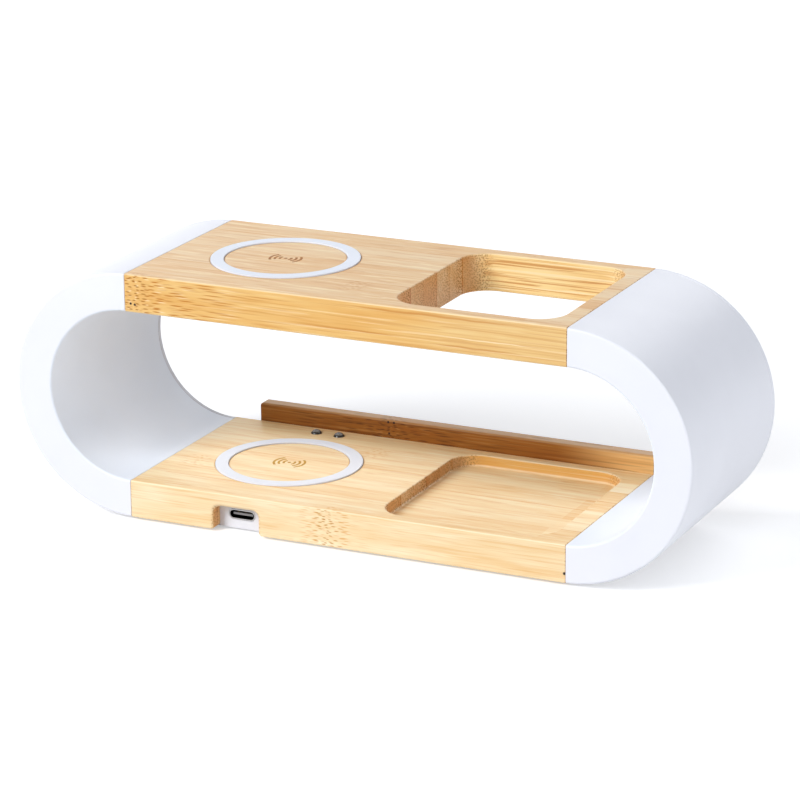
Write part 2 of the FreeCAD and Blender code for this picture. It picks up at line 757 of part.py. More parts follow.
def usb_c_tongue():
    """Contact tongue of the inlet, on the insert that closes the back of its shell."""
    body = new_body("usb_c_tongue", "port_x", "deck_y + usb_front + usb_length", "lower_z + usb_center")
    insert = new_sketch(body, "XZ_Plane")
    round_ended(insert, "usb_bore_width", "usb_bore_height")
    pad(body, insert, "usb_base_length")
    tongue = new_sketch(body, "XZ_Plane", z="usb_base_length")
    rectangle(tongue, "usb_tongue_width", "usb_tongue_thickness")
    pad(body, tongue, "usb_length - usb_base_length - usb_tongue_setback")


def turned_outline(sketch, steps, crown=None):
    """Draw half the section of a turned piece: radius and height steps, from its foot up to its crown."""
    numbers = [(value(radius) / 2, height[0]) for radius, height in steps]
    corners = [(0, numbers[0][1])] + numbers
    top = crown[0] if crown else numbers[-1][1]
    edges = [line(sketch, corners[i], corners[i + 1]) for i in range(len(corners) - 1)]
    last_radius, last_height = numbers[-1]
    if crown:
        rise = top - last_height
        radius = (last_radius ** 2 + rise ** 2) / (2 * rise)
        start = math.degrees(math.asin((last_height - top + radius) / radius))
        dome = arc(sketch, (0, top - radius), radius, start, SQUARE)
        sketch.addConstraint(Sketcher.Constraint("PointOnObject", dome, 3, -2))
        edges.append(dome)
    else:
        edges.append(line(sketch, corners[-1], (0, top)))
    edges.append(line(sketch, (0, top), corners[0]))
    for i, edge in enumerate(edges):
        sketch.addConstraint(Sketcher.Constraint("Coincident", edge, 2, edges[(i + 1) % len(edges)], 1))
    sketch.addConstraint(Sketcher.Constraint("PointOnObject", edges[-1], 1, -2))
    sketch.addConstraint(Sketcher.Constraint("PointOnObject", edges[-1], 2, -2))
    for i, (radius, height) in enumerate(steps):
        dimension(sketch, "DistanceX", (-1, 1, edges[i], 2), numbers[i][0], radius + " / 2")
        hold_height(sketch, edges[i], 2, height)
    hold_height(sketch, edges[0], 1, steps[0][1])
    hold_height(sketch, edges[-1], 1, crown if crown else steps[-1][1])


def hold_height(sketch, edge, end, height):
    """Hold a point at a height above the sketch's origin, or on its X axis when the height is zero."""
    number, text = height
    if number == 0:
        sketch.addConstraint(Sketcher.Constraint("PointOnObject", edge, end, -1))
    else:
        dimension(sketch, "DistanceY", (-1, 1, edge, end), number, text)


def up_to(*names):
    """Add named sizes up to a height, as a number and as a formula."""
    return sum(value(name) for name in names), " + ".join(names) or "0"


def turned_group(label, steps, crown, spots):
    """Turn one piece and set a copy of it at every spot."""
    sketch = doc.addObject("Sketcher::SketchObject", label + "_sketch")
    upright = FreeCAD.Rotation(FreeCAD.Vector(1, 0, 0), SQUARE)
    sketch.Placement = FreeCAD.Placement(FreeCAD.Vector(0, 0, 0), upright)
    turned_outline(sketch, steps, crown)
    members = []
    for x, y, z, rotation in spots:
        turned = doc.addObject("Part::Revolution", label + "_item")
        turned.Source = sketch
        turned.Axis = FreeCAD.Vector(0, 0, 1)
        turned.Base = FreeCAD.Vector(0, 0, 0)
        turned.Angle = FULL_TURN
        turned.Solid = True
        turned.Placement = FreeCAD.Placement(FreeCAD.Vector(0, 0, 0), rotation)
        place(turned, x, y, z)
        members.append(turned)
    group(label, members)


def cover_screws(label, z):
    """Four round-headed wood screws, heads down, that hold a pocket's cover."""
    point_end = up_to("screw_point")
    shank_end = up_to("screw_length")
    head_foot = shank_end
    head_edge = up_to("screw_length", "screw_head_height")
    flat_head = (head_edge[0] - value("screw_crown"), head_edge[1] + " - screw_crown")
    steps = [
        ("screw_point", up_to()),
        ("screw_shank", point_end),
        ("screw_shank", shank_end),
        ("screw_head", head_foot),
        ("screw_head", flat_head),
    ]
    heads_down = FreeCAD.Rotation(FreeCAD.Vector(1, 0, 0), 2 * SQUARE)
    spots = []
    for side_x, side_y in CORNERS:
        x = "charge_x + screw_pitch_x / 2 * (" + str(side_x) + ")"
        y = "deck_y + pocket_y + screw_pitch_y / 2 * (" + str(side_y) + ")"
        spots.append((x, y, z + " + screw_length + screw_head_height", heads_down))
    turned_group(label, steps, head_edge, spots)


def rail_dowels():
    """Wooden dowels between the rail and the back edge of the lower board."""
    shoulder = (value("dowel_length") - value("dowel_point"), "dowel_length - dowel_point")
    steps = [
        ("dowel_tip", up_to()),
        ("dowel_diameter", up_to("dowel_point")),
        ("dowel_diameter", shoulder),
        ("dowel_tip", up_to("dowel_length")),
    ]
    backwards = FreeCAD.Rotation(FreeCAD.Vector(1, 0, 0), -SQUARE)
    spots = []
    for i in range(DOWEL_COUNT):
        x = "dowel_first + dowel_span * " + str(i) + " / " + str(DOWEL_COUNT - 1)
        y = "deck_y + half_depth + dowel_in_rail - dowel_length"
        spots.append((x, y, "lower_z + dowel_height", backwards))
    turned_group("rail_dowels", steps, None, spots)


def light_pipe(label, side):
    """Clear pipe that brings one charging light up through the deck, with a domed top."""
    x = "light_x + light_pitch / 2 * (" + str(side) + ")"
    body = new_body(label, x, "deck_y + light_y", "lower_z")
    ceiling = value("pocket_height")
    steps = [
        ("light_diameter", (value("light_foot"), "light_foot")),
        ("light_diameter", (ceiling - value("light_collar_height"), "pocket_height - light_collar_height")),
        ("light_collar", (ceiling - value("light_collar_height"), "pocket_height - light_collar_height")),
        ("light_collar", (ceiling, "pocket_height")),
        ("light_diameter", (ceiling, "pocket_height")),
        ("light_diameter", up_to("board_thickness")),
    ]
    section = new_sketch(body, "XZ_Plane")
    turned_outline(section, steps, up_to("board_thickness", "light_proud"))
    turned = body.newObject("PartDesign::Revolution", label + "_turned")
    turned.Profile = section
    turned.ReferenceAxis = (section, ["V_Axis"])
    turned.Angle = FULL_TURN
    doc.recompute()


def led_chips():
    members = []
    for side in (-1, 1):
        x = "light_x + light_pitch / 2 * (" + str(side) + ")"
        where = (x, "deck_y + light_y", "lower_z + pcb_top")
        members.append(block("led_item", "led_length", "led_width", "led_height", *where))
    group("led_chips", members)


def link_plug(label, z):
    """Plug on one end of the lead, its nose in the socket."""
    thing = block(label, "plug_length", "plug_width", "plug_height", "plug_x + plug_length / 2",
                  "deck_y + lead_offset", z + " + half_thickness - plug_height / 2")
    thing.Label = label
    pieces.append(thing)


def link_socket(label, z, foot, top):
    """Socket of the lead's plug, from its foot to its top in the board's own height."""
    width = "plug_width + 2 * plug_fit + 2 * socket_wall"
    y = "deck_y + lead_offset"
    case = block(label + "_case", "socket_length", width, top + " - (" + foot + ")",
                 "socket_x + socket_length / 2", y, z + " + " + foot)
    hollow_length = "plug_nose + plug_fit + overrun"
    hollow = block(label + "_hollow", hollow_length, "plug_width + 2 * plug_fit",
                   "plug_height + 2 * plug_fit", "socket_x + plug_nose / 2 + plug_fit / 2 - overrun / 2",
                   y, z + " + half_thickness - plug_height / 2 - plug_fit")
    socket = doc.addObject("Part::Cut", label)
    socket.Label = label
    socket.Base = case
    socket.Tool = hollow
    pieces.append(socket)


def upper_terminal_board():
    """Small circuit board on the ceiling of the upper pocket, which carries the upper socket."""
    thing = block("upper_terminal_board", "terminal_length", "terminal_width", "pcb_thickness",
                  "plug_x + terminal_length / 2", "deck_y + lead_offset",
                  "upper_z + pocket_height - pcb_thickness")
    thing.Label = "upper_terminal_board"
    pieces.append(thing)


def link_lead():
    """Lead from the lower plug round the inside of the left bow to the upper plug."""
    body = new_body("link_lead", "-seam_x", "deck_y + lead_offset", "mid_z")
    middle = value("bow_middle")
    run = value("lead_run")
    path = new_sketch(body, "XZ_Plane")
    bend = arc(path, (0, 0), middle, SQUARE, 3 * SQUARE)
    above = line(path, (run, middle), (0, middle))
    below = line(path, (0, -middle), (run, -middle))
    path.addConstraint(Sketcher.Constraint("Coincident", bend, 3, -1, 1))
    path.addConstraint(Sketcher.Constraint("PointOnObject", bend, 1, -2))
    path.addConstraint(Sketcher.Constraint("PointOnObject", bend, 2, -2))
    path.addConstraint(Sketcher.Constraint("Coincident", above, 2, bend, 1))
    path.addConstraint(Sketcher.Constraint("Coincident", below, 1, bend, 2))
    path.addConstraint(Sketcher.Constraint("Horizontal", above))
    path.addConstraint(Sketcher.Constraint("Horizontal", below))
    path.addConstraint(Sketcher.Constraint("Equal", above, below))
    dimension(path, "Radius", (bend,), middle, "bow_middle")
    dimension(path, "DistanceX", (below, 1, below, 2), run, "lead_run")
    section = new_sketch(body, "YZ_Plane", y="-bow_middle", z="lead_run")
    circle(section, "lead_diameter")
    pipe = body.newObject("PartDesign::AdditivePipe", "link_lead_pipe")
    pipe.Profile = section
    pipe.Spine = (path, ["Edge" + str(i + 1) for i in range(len(path.Geometry))])
    doc.recompute()
    length = 2 * run + math.pi * middle
    expected = math.pi * value("lead_diameter") ** 2 / 4 * length
    print("link lead: length", round(length, 1), "volume ratio", round(body.Tip.Shape.Volume / expected, 4))


def ease_bow(body, outer_y, parting_y):
    """Round the bow's outer rims, and ease its edges at the seams and along the parting line."""
    round_edges(body, "bow_round", lambda edge: round_curve(edge) and lies_across_y(edge, outer_y))

    def meets(edge):
        parting = round_curve(edge) and lies_across_y(edge, parting_y)
        return parting or lies_across_x(edge, 0)

    round_edges(body, "seam_ease", meets)


def bow_shell(label, side):
    """Hollow half-round end piece, open at the back, with a tongue for each board."""
    seam = "seam_x" if side > 0 else "-seam_x"
    body = new_body(label, seam, "deck_y", "mid_z")
    outline = new_sketch(body, "XZ_Plane", z="bow_cover_thickness - half_depth")
    half_ring(outline, "bow_outer", "bow_inner", side)
    pad(body, outline, "bow_depth")
    ease_bow(body, -value("half_depth"), value("half_depth") - value("bow_cover_thickness"))
    cavity = new_sketch(body, "XZ_Plane", z="bow_cover_thickness - half_depth")
    half_ring(cavity, "bow_cavity_outer", "bow_cavity_inner", side)
    cut(body, cavity, "bow_depth - bow_wall", reverse=True)
    for level in ("bow_middle", "-bow_middle"):
        end_wall = new_sketch(body, "YZ_Plane", "bow_end_y", level)
        rectangle(end_wall, "bow_end_depth", "bow_end_height")
        pad(body, end_wall, "bow_wall", reverse=side < 0)
        tongue = new_sketch(body, "YZ_Plane", y=level)
        round_ended(tongue, "tongue_width", "tongue_height")
        pad(body, tongue, "tongue_length", reverse=side > 0)
    return body


def left_bow_shell():
    """Left bow, whose tongues let the lead through."""
    body = bow_shell("left_bow_shell", -1)
    for level in ("bow_middle", "-bow_middle"):
        hole = new_sketch(body, "YZ_Plane", "lead_offset", level, "tongue_length + overrun")
        circle(hole, "lead_hole")
        cut(body, hole, "tongue_length + bow_wall + 2 * overrun")


def bow_cover(label, side):
    """Half-round cap that closes the back of a bow, with a step that fits into its hollow."""
    seam = "seam_x" if side > 0 else "-seam_x"
    body = new_body(label, seam, "deck_y", "mid_z")
    outline = new_sketch(body, "XZ_Plane", z="-half_depth")
    half_ring(outline, "bow_outer", "bow_inner", side)
    pad(body, outline, "bow_cover_thickness")
    ease_bow(body, value("half_depth"), value("half_depth") - value("bow_cover_thickness"))
    step = new_sketch(body, "XZ_Plane", z="bow_cover_thickness - half_depth")
    half_ring(step, "bow_step_outer", "bow_step_inner", side)
    pad(body, step, "bow_step")


def back_rail():
    body = new_body("back_rail", "rail_inset - seam_x", "deck_y + half_depth", "lower_z")
    section = new_sketch(body, "YZ_Plane", "rail_thickness / 2", "rail_height / 2")
    rectangle(section, "rail_thickness", "rail_height")
    pad(body, section, "rail_length")
    top = value("rail_height")
    length = value("rail_length")

    def shows(edge):
        upright = edge.BoundBox.ZLength > NEARLY and edge.BoundBox.YMin > NEARLY
        return at_height(edge, top) or (upright and edge.BoundBox.XMax < length / 2)

    round_edges(body, "rail_round", shows)
    dowel = new_sketch(body, "XZ_Plane", "dowel_first + seam_x - rail_inset", "dowel_height")
    circle(dowel, "dowel_hole")
    hole = cut(body, dowel, "dowel_in_rail + dowel_fit")
    dowel_row(body, hole, dowel)


def foot(label, side_x, side_y):
    """Soft round foot in its seat under the lower board."""
    body = new_body(label, "foot_x * (" + str(side_x) + ")", "deck_y + foot_y * (" + str(side_y) + ")")
    section = new_sketch(body, "XY_Plane")
    circle(section, "foot_diameter")
    pad(body, section, "foot_thickness")
    round_edges(body, "foot_round", lambda edge: at_height(edge, 0) and round_curve(edge))


upper_board()
lower_board()
for floor_name, floor_z in (("upper", "upper_z"), ("lower", "lower_z")):
    ring(floor_name + "_ring", floor_z)
    coil(floor_name + "_coil", floor_z)
    ferrite(floor_name + "_ferrite", floor_z)
    link_plug(floor_name + "_link_plug", floor_z)
upper_cover()
bottom_cover()
cover_screws("upper_cover_screws", "upper_z")
cover_screws("bottom_cover_screws", "lower_z")
main_board()
board_parts("board_chips", CHIP_PLACE_SHARES, "chip_side", "chip_side", "chip_height")
board_parts("board_inductors", INDUCTOR_PLACE_SHARES, "inductor_side", "inductor_side", "inductor_height")
board_parts("board_capacitors", CAPACITOR_PLACE_SHARES, "capacitor_length", "capacitor_width", "capacitor_height")
usb_c_shell()
usb_c_tongue()
light_pipe("light_pipe_left", -1)
light_pipe("light_pipe_right", 1)
led_chips()
link_lead()
plug_reach = "half_thickness + plug_height / 2 + plug_fit + socket_wall"
link_socket("lower_link_socket", "lower_z", "pcb_top", plug_reach)
plug_drop = "half_thickness - plug_height / 2 - plug_fit - socket_wall"
link_socket("upper_link_socket", "upper_z", plug_drop, "pocket_height - pcb_thickness")
upper_terminal_board()
left_bow_shell()
bow_shell("right_bow_shell", 1)
bow_cover("left_bow_cover", -1)
bow_cover("right_bow_cover", 1)
back_rail()
rail_dowels()
for corner in CORNERS:
    foot("foot_" + CORNER_WORDS[corner], *corner)

doc.recompute()
for thing in doc.Objects:
    if "Invalid" in thing.State or "Error" in thing.State:
        raise RuntimeError(thing.Label + " could not be worked out")
for piece in pieces:
    if piece.Shape.isNull() or not piece.Shape.isValid():
        raise RuntimeError(piece.Label + " has no sound shape")

os.makedirs("parts", exist_ok=True)
for piece in pieces:
    piece.Shape.exportStep("parts/" + piece.Label + ".step")
print(len(pieces), "pieces written")
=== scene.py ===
# %% [markdown]
# # A bamboo charging organizer
# Two bamboo boards are held one above the other by two white half-round bows. The boards carry charging
# rings on the left; on the right the upper one has a window and the lower one a tray. The shapes come from
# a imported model, in metres, and this lesson gives them their finishes, their small marks, light and a
# camera.

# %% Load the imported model
import json
import math
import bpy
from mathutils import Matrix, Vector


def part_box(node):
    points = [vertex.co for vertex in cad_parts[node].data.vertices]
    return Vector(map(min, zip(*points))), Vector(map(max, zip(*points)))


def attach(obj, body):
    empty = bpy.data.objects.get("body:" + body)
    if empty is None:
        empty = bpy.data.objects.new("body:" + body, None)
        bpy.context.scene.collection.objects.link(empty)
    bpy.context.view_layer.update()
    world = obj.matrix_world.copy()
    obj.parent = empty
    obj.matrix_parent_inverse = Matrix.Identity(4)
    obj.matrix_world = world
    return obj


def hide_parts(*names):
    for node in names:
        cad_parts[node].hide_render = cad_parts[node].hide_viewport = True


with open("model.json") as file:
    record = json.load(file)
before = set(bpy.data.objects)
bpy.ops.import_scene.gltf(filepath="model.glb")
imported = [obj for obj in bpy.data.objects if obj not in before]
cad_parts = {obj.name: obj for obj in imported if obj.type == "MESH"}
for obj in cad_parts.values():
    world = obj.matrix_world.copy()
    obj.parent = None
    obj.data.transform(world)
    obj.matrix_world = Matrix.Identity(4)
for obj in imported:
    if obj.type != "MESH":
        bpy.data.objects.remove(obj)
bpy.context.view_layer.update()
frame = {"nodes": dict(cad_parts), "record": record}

from types import SimpleNamespace

import bpy
from mathutils import Matrix, Vector

MM = 0.001
print("pieces in the packed model:", len(frame["nodes"]))

# %% [markdown]
# ## The camera
# A long lens keeps the board edges nearly parallel, as in a catalogue picture. Its place was worked out
# from the corners of the two boards, so it is written as an eye point, two angles and a slight roll. The
# focal length is given in pixels of an image 800 pixels wide, and Blender wants it in millimetres of a
# sensor.

# %% Set up the camera
IMAGE_WIDTH = 800
FOCAL_PIXELS = 3572.9
SENSOR_WIDTH = 36.0
EYE = Vector((448.28, -944.17, 366.54)) * MM
AZIMUTH = math.radians(25.313)
ELEVATION = math.radians(17.499)
ROLL = math.radians(0.466)

camera_data = bpy.data.cameras.new("catalogue_camera")
camera_data.sensor_fit = "HORIZONTAL"
camera_data.sensor_width = SENSOR_WIDTH
camera_data.lens = FOCAL_PIXELS * SENSOR_WIDTH / IMAGE_WIDTH
camera = bpy.data.objects.new("catalogue_camera", camera_data)
turned = Matrix.Rotation(AZIMUTH, 4, "Z") @ Matrix.Rotation(math.pi / 2 - ELEVATION, 4, "X")
camera.matrix_world = Matrix.Translation(EYE) @ turned @ Matrix.Rotation(-ROLL, 4, "Z")
bpy.context.scene.collection.objects.link(camera)
bpy.context.scene.camera = camera
bpy.context.scene.view_settings.view_transform = "Standard"
print("lens in mm:", round(camera_data.lens, 1))

# %% [markdown]
# ## A small language for node trees
# Wood grain is arithmetic on the place of a point. Placing dozens of nodes by hand hides that, so a small
# helper turns each step into one call: it makes a node, feeds its sockets and hands back the output. What
# is fed may be a plain value or the output of another node.

# %% Write the wiring helper
class Wiring:
    """A node tree, whose nodes are made by calls that read like a formula."""

    def feed(self, socket, value):
        if isinstance(value, bpy.types.NodeSocket):
            self.tree.links.new(value, socket)
        else:
            socket.default_value = value

    def node(self, kind, sockets, output=0, **settings):
        made = self.tree.nodes.new(kind)
        for name, value in settings.items():
            setattr(made, name, value)
        for socket, value in sockets.items():
            self.feed(made.inputs[socket], value)
        return made.outputs[output]

    def sum(self, operation, *values):
        return self.node("ShaderNodeMath", dict(enumerate(values)), operation=operation)

    def product(self, first, *others):
        """All the values multiplied."""
        for other in others:
            first = self.sum("MULTIPLY", first, other)
        return first

    def most(self, first, *others):
        """The largest of the values."""
        for other in others:
            first = self.sum("MAXIMUM", first, other)
        return first

    def vector(self, operation, *values):
        """Arithmetic on points. A length or a distance comes back as a number."""
        output = "Value" if operation in ("LENGTH", "DISTANCE") else "Vector"
        return self.node("ShaderNodeVectorMath", dict(enumerate(values)), output, operation=operation)

    def point(self, x, y, z):
        return self.node("ShaderNodeCombineXYZ", {0: x, 1: y, 2: z})

    def split(self, vector):
        made = self.tree.nodes.new("ShaderNodeSeparateXYZ")
        self.feed(made.inputs[0], vector)
        return list(made.outputs)


print("the wiring helper is ready")

# %% [markdown]
# ## Materials as formulas
# A material adds a few steps of its own: a smooth ramp between two values, a mix of two colours, a noise,
# and a bump that is measured in millimetres. Every pattern reads Object coordinates, because these stay
# with a piece wherever it goes.

# %% Write the finish helper
class Finish(Wiring):
    """One material."""

    def __init__(self, name):
        self.material = bpy.data.materials.new(name)
        self.material.use_nodes = True
        self.tree = self.material.node_tree
        self.shader = self.tree.nodes["Principled BSDF"]

    def ramp(self, value, low, high, start=0.0, end=1.0):
        """Goes smoothly from start to end while value goes from low to high."""
        sockets = {"Value": value, "From Min": low, "From Max": high, "To Min": start, "To Max": end}
        return self.node("ShaderNodeMapRange", sockets, interpolation_type="SMOOTHSTEP")

    def mix(self, share, first, second, blend="MIX"):
        """Mixes two colours, or scales one by the other with blend MULTIPLY."""
        sockets = {0: share, 6: first, 7: second}
        return self.node("ShaderNodeMix", sockets, 2, data_type="RGBA", blend_type=blend)

    def place(self):
        """The point's place on the object, in millimetres."""
        where = self.node("ShaderNodeTexCoord", {}, "Object")
        return self.node("ShaderNodeVectorMath", {0: where, "Scale": 1 / MM}, operation="SCALE")

    def noise(self, vector, scale, detail=2.0, roughness=0.5):
        sockets = {"Vector": vector, "Scale": scale, "Detail": detail, "Roughness": roughness}
        return self.node("ShaderNodeTexNoise", sockets, "Fac")

    def bump(self, height, strength, depth):
        sockets = {"Height": height, "Strength": strength, "Distance": depth * MM}
        self.set(normal=self.node("ShaderNodeBump", sockets))

    def set(self, **sockets):
        """Feeds sockets of the shader, such as base_color for Base Color."""
        for name, value in sockets.items():
            self.feed(self.shader.inputs[name.replace("_", " ").title().replace("Ior", "IOR")], value)


def colour(red, green, blue):
    return (red, green, blue, 1.0)


def dress(material, *names):
    """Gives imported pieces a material, in every slot that they have."""
    for name in names:
        slots = frame["nodes"][name].data.materials
        if not slots:
            slots.append(material)
        for index in range(len(slots)):
            slots[index] = material


print("the finish helper is ready")

# %% [markdown]
# ## The studio floor
# The organizer stands in a white studio. The floor is a pale matt sheet that also glows a little towards
# the camera, which makes it white while the soft shadows stay. It glows more far off and to the right of
# the organizer, where the lamps leave it grey, and from below it is clear, so that the underside can be
# looked at.

# %% Build the floor
WHITE = colour(1.0, 1.0, 1.0)
FLOOR_COLOUR = colour(0.80, 0.80, 0.80)
FLOOR_SIZE = 6.0
FLOOR_GLOW = 0.425
FAR_FLOOR = (400.0, 1800.0)
RIGHT_FLOOR = (88.0, 118.0)
RIGHT_GLOW = 0.15


def looked_at(finish):
    """One where the camera looks, straight or by way of a mirror or glass, and zero for other light."""
    rays = finish.tree.nodes.new("ShaderNodeLightPath").outputs
    return finish.most(rays["Is Camera Ray"], rays["Is Glossy Ray"], rays["Is Transmission Ray"])


sheet = Finish("studio_floor")
where = sheet.place()
far_glow = sheet.ramp(sheet.vector("LENGTH", where), *FAR_FLOOR, FLOOR_GLOW, 1.0)
right_glow = sheet.ramp(sheet.split(where)[0], *RIGHT_FLOOR, 0.0, RIGHT_GLOW)
glow = sheet.product(looked_at(sheet), sheet.sum("ADD", far_glow, right_glow))
sheet.set(base_color=FLOOR_COLOUR, roughness=1.0, specular_ior_level=0.0)
sheet.set(emission_color=WHITE, emission_strength=glow)
from_below = sheet.node("ShaderNodeNewGeometry", {}, "Backfacing")
clear = sheet.node("ShaderNodeBsdfTransparent", {})
shown = sheet.node("ShaderNodeMixShader", {0: from_below, 1: sheet.shader.outputs[0], 2: clear})
sheet.feed(sheet.tree.nodes["Material Output"].inputs["Surface"], shown)

half = FLOOR_SIZE / 2
corners = [(-half, -half, 0.0), (half, -half, 0.0), (half, half, 0.0), (-half, half, 0.0)]
floor_mesh = bpy.data.meshes.new("studio_floor")
floor_mesh.from_pydata(corners, [], [(0, 1, 2, 3)])
floor_mesh.materials.append(sheet.material)
floor = bpy.data.objects.new("studio_floor", floor_mesh)
bpy.context.scene.collection.objects.link(floor)
print("floor in m:", FLOOR_SIZE, "by", FLOOR_SIZE)

# %% [markdown]
# ## The white room and the lamps
# The camera, and surfaces that gleam, see a white room. As light the same room is dim and a little blue,
# so that the shaded sides stay soft. One large lamp at the front left does most of the work; a weaker one
# at the right and two behind brighten the edges. Each lamp has a place in metres, a size and a power in
# watts.

# %% Light the studio
AMBIENT = 0.235
AMBIENT_TINT = colour(0.88, 0.97, 1.15)
LAMP_TARGET = Vector((0.0, 0.0, 0.04))
LAMPS = {
    "front_left_softbox": ((-1.28, -1.92, 1.60), 1.5, 68.0),
    "right_card": ((1.70, -0.30, 0.20), 1.0, 15.0),
    "back_softbox": ((0.00, 1.50, 0.90), 1.0, 5.6),
    "back_left_softbox": ((-1.15, 1.20, 0.75), 1.0, 3.9),
}


class Room(Finish):
    """The world's nodes, made by the same calls."""

    def __init__(self, world):
        world.use_nodes = True
        self.tree = world.node_tree
        self.shader = self.tree.nodes["Background"]


bpy.context.scene.world = bpy.data.worlds.new("white_room")
room = Room(bpy.context.scene.world)
seen = looked_at(room)
room.set(color=room.mix(seen, AMBIENT_TINT, WHITE), strength=room.ramp(seen, 0.0, 1.0, AMBIENT, 1.0))

for name, (place, size, watts) in LAMPS.items():
    lamp_data = bpy.data.lights.new(name, "AREA")
    lamp_data.shape = "DISK"
    lamp_data.size = size
    lamp_data.energy = watts
    lamp = bpy.data.objects.new(name, lamp_data)
    lamp.location = Vector(place)
    lamp.rotation_euler = (LAMP_TARGET - Vector(place)).to_track_quat("-Z", "Y").to_euler()
    bpy.context.scene.collection.objects.link(lamp)
print("lamps:", list(LAMPS))

# %% [markdown]
# ## Bamboo, strip by strip
# A bamboo board is glued up from upright strips that lie side by side. This class works out, from the
# place of a point, in which strip it lies, how far it is from a joint of the cane and which way its face
# points. Chance numbers come from the strip's own number, so every run gives the same board.

# %% Lay out the strips
STRIP_WIDTH = 9.375
JOINT_SCATTER = 420.0
FIRST_JOINT = -260.0
BEND_LENGTH = 12.0
NEAR_JOINT = (1.0, 7.0)
UPRIGHT = (0.55, 0.95)
DRAWS = {"joint": 1.7, "dashes": 4.1, "tone": 9.3, "end piece": 6.7, "end piece tone": 2.9}


class Strips(Finish):
    """Bamboo strips side by side along Y, with their fibres along X. Lengths are in millimetres."""

    def __init__(self, name, strip_edge, front_joint, dense, seed):
        super().__init__(name)
        self.seed = seed
        self.where = self.place()
        self.x, self.y, self.z = self.split(self.where)
        across = self.sum("DIVIDE", self.sum("SUBTRACT", self.y, strip_edge), STRIP_WIDTH)
        self.strip = self.sum("FLOOR", across)
        self.inside = self.sum("FRACT", across)
        self.in_front = self.sum("LESS_THAN", self.strip, 0.5)
        self.outside = self.most(0.0, *(self.sum("COMPARE", self.strip, number, 0.5) for number in dense))
        scattered = self.sum("MULTIPLY_ADD", self.chance("joint"), JOINT_SCATTER, FIRST_JOINT)
        self.from_joint = self.sum("SUBTRACT", self.x, self.choose(scattered, front_joint))
        self.away = self.sum("ABSOLUTE", self.from_joint)
        self.near = self.ramp(self.away, *NEAR_JOINT, 1.0, 0.0)
        bend = self.noise(self.point(self.sum("DIVIDE", self.x, BEND_LENGTH), seed, 0.0), 1.0, 1.0)
        bend = self.sum("SUBTRACT", bend, 0.5)
        self.bent = self.vector("ADD", self.where, self.point(0.0, bend, bend))
        normal = self.split(self.node("ShaderNodeNewGeometry", {}, "Normal"))
        self.cut, self.facing, self.flat = [self.product(part, part) for part in normal]
        self.upright = self.ramp(self.facing, *UPRIGHT)

    def choose(self, elsewhere, in_front):
        """One number in the strip at the front edge, and another in the strips behind it."""
        sockets = {0: self.in_front, 2: elsewhere, 3: in_front}
        return self.node("ShaderNodeMix", sockets, data_type="FLOAT")

    def chance(self, draw):
        """A number from 0 to 1 that differs from strip to strip."""
        number = self.sum("ADD", self.strip, DRAWS[draw] + self.seed)
        return self.node("ShaderNodeTexWhiteNoise", {"W": number}, noise_dimensions="1D")


print("width of a bamboo strip in mm:", STRIP_WIDTH)

# %% [markdown]
# ## The marks that fibres leave
# Fibre bundles run along each strip: cut across they are dots, and seen from the side they are long
# dashes. Near a joint of the cane the fibres are broken up, so there the dashes are short. Cells of a
# Voronoi pattern serve for single bundles, and noise that is stretched along the strip serves for streaks
# and threads.

# %% Write the fibre patterns
JOINT_SPREAD = 4.0
SHORTEST_DASH = 2.0
DASH_SHIFT = 70.0
THREAD_LAYER = 3.7
DRIFT_STRETCH = 3.0
DRIFT_SCALE = 0.09


class Bamboo(Strips):
    """The strips with their fibre bundles."""

    def along(self, spacing):
        """The place along the fibre, pressed together so that dashes get longer away from the joint."""
        reach = self.sum("MULTIPLY_ADD", self.away, 1 / JOINT_SPREAD, 1.0)
        grown = self.product(self.sum("SIGN", self.from_joint), self.sum("LOGARITHM", reach, math.e))
        shift = self.product(self.chance("dashes"), DASH_SHIFT)
        return self.sum("MULTIPLY_ADD", grown, JOINT_SPREAD * spacing / SHORTEST_DASH, shift)

    def bundles(self, first, second, spacing, core, edge):
        """How deep the point lies in a fibre bundle, from 0 to 1, and a chance number of that bundle."""
        cells = self.tree.nodes.new("ShaderNodeTexVoronoi")
        cells.voronoi_dimensions = "2D"
        self.feed(cells.inputs["Vector"], self.point(first, second, 0.0))
        self.feed(cells.inputs["Scale"], 1 / spacing)
        depth = self.ramp(cells.outputs["Distance"], core, edge, 1.0, 0.0)
        return depth, self.split(cells.outputs["Color"])[0]

    def streak(self, stretch, scale, detail, wander):
        """Soft streaks along the fibres, from -0.5 to 0.5, that wander sideways."""
        slow = self.point(self.sum("DIVIDE", self.x, DRIFT_STRETCH), self.y, self.z)
        drift = self.product(self.noise(slow, DRIFT_SCALE, 1.0), wander)
        aside = self.sum("ADD", self.sum("ADD", self.y, drift), self.seed)
        long = self.point(self.sum("DIVIDE", self.x, stretch), aside, self.sum("ADD", self.z, drift))
        return self.sum("SUBTRACT", self.noise(long, scale, detail, 0.6), 0.5)

    def thread(self, stretch, scale):
        """Long straight threads on the upright faces, one set of them for each strip, from 0 to 1."""
        layer = self.sum("MULTIPLY_ADD", self.strip, THREAD_LAYER, self.seed)
        return self.noise(self.point(self.sum("DIVIDE", self.x, stretch), layer, self.z), scale, 1.0)


print("shortest dash in mm:", SHORTEST_DASH)

# %% [markdown]
# ## Marks in known places
# A few marks have a place of their own: long thin streaks on the front edges, open pores beside a joint,
# and a painted shade line along both edges of a ring's groove, where the gap beside the ring is in shade.
# Each is the distance from a point, a line or a circle, made soft at its end by a ramp.

# %% Write the placed marks
RING_WIDTH = 4.1
RING_GAP = 0.2
GROOVE_SHADE_WIDTH = (0.1, 0.4)
MARK_EDGE = (0.4, 1.0)


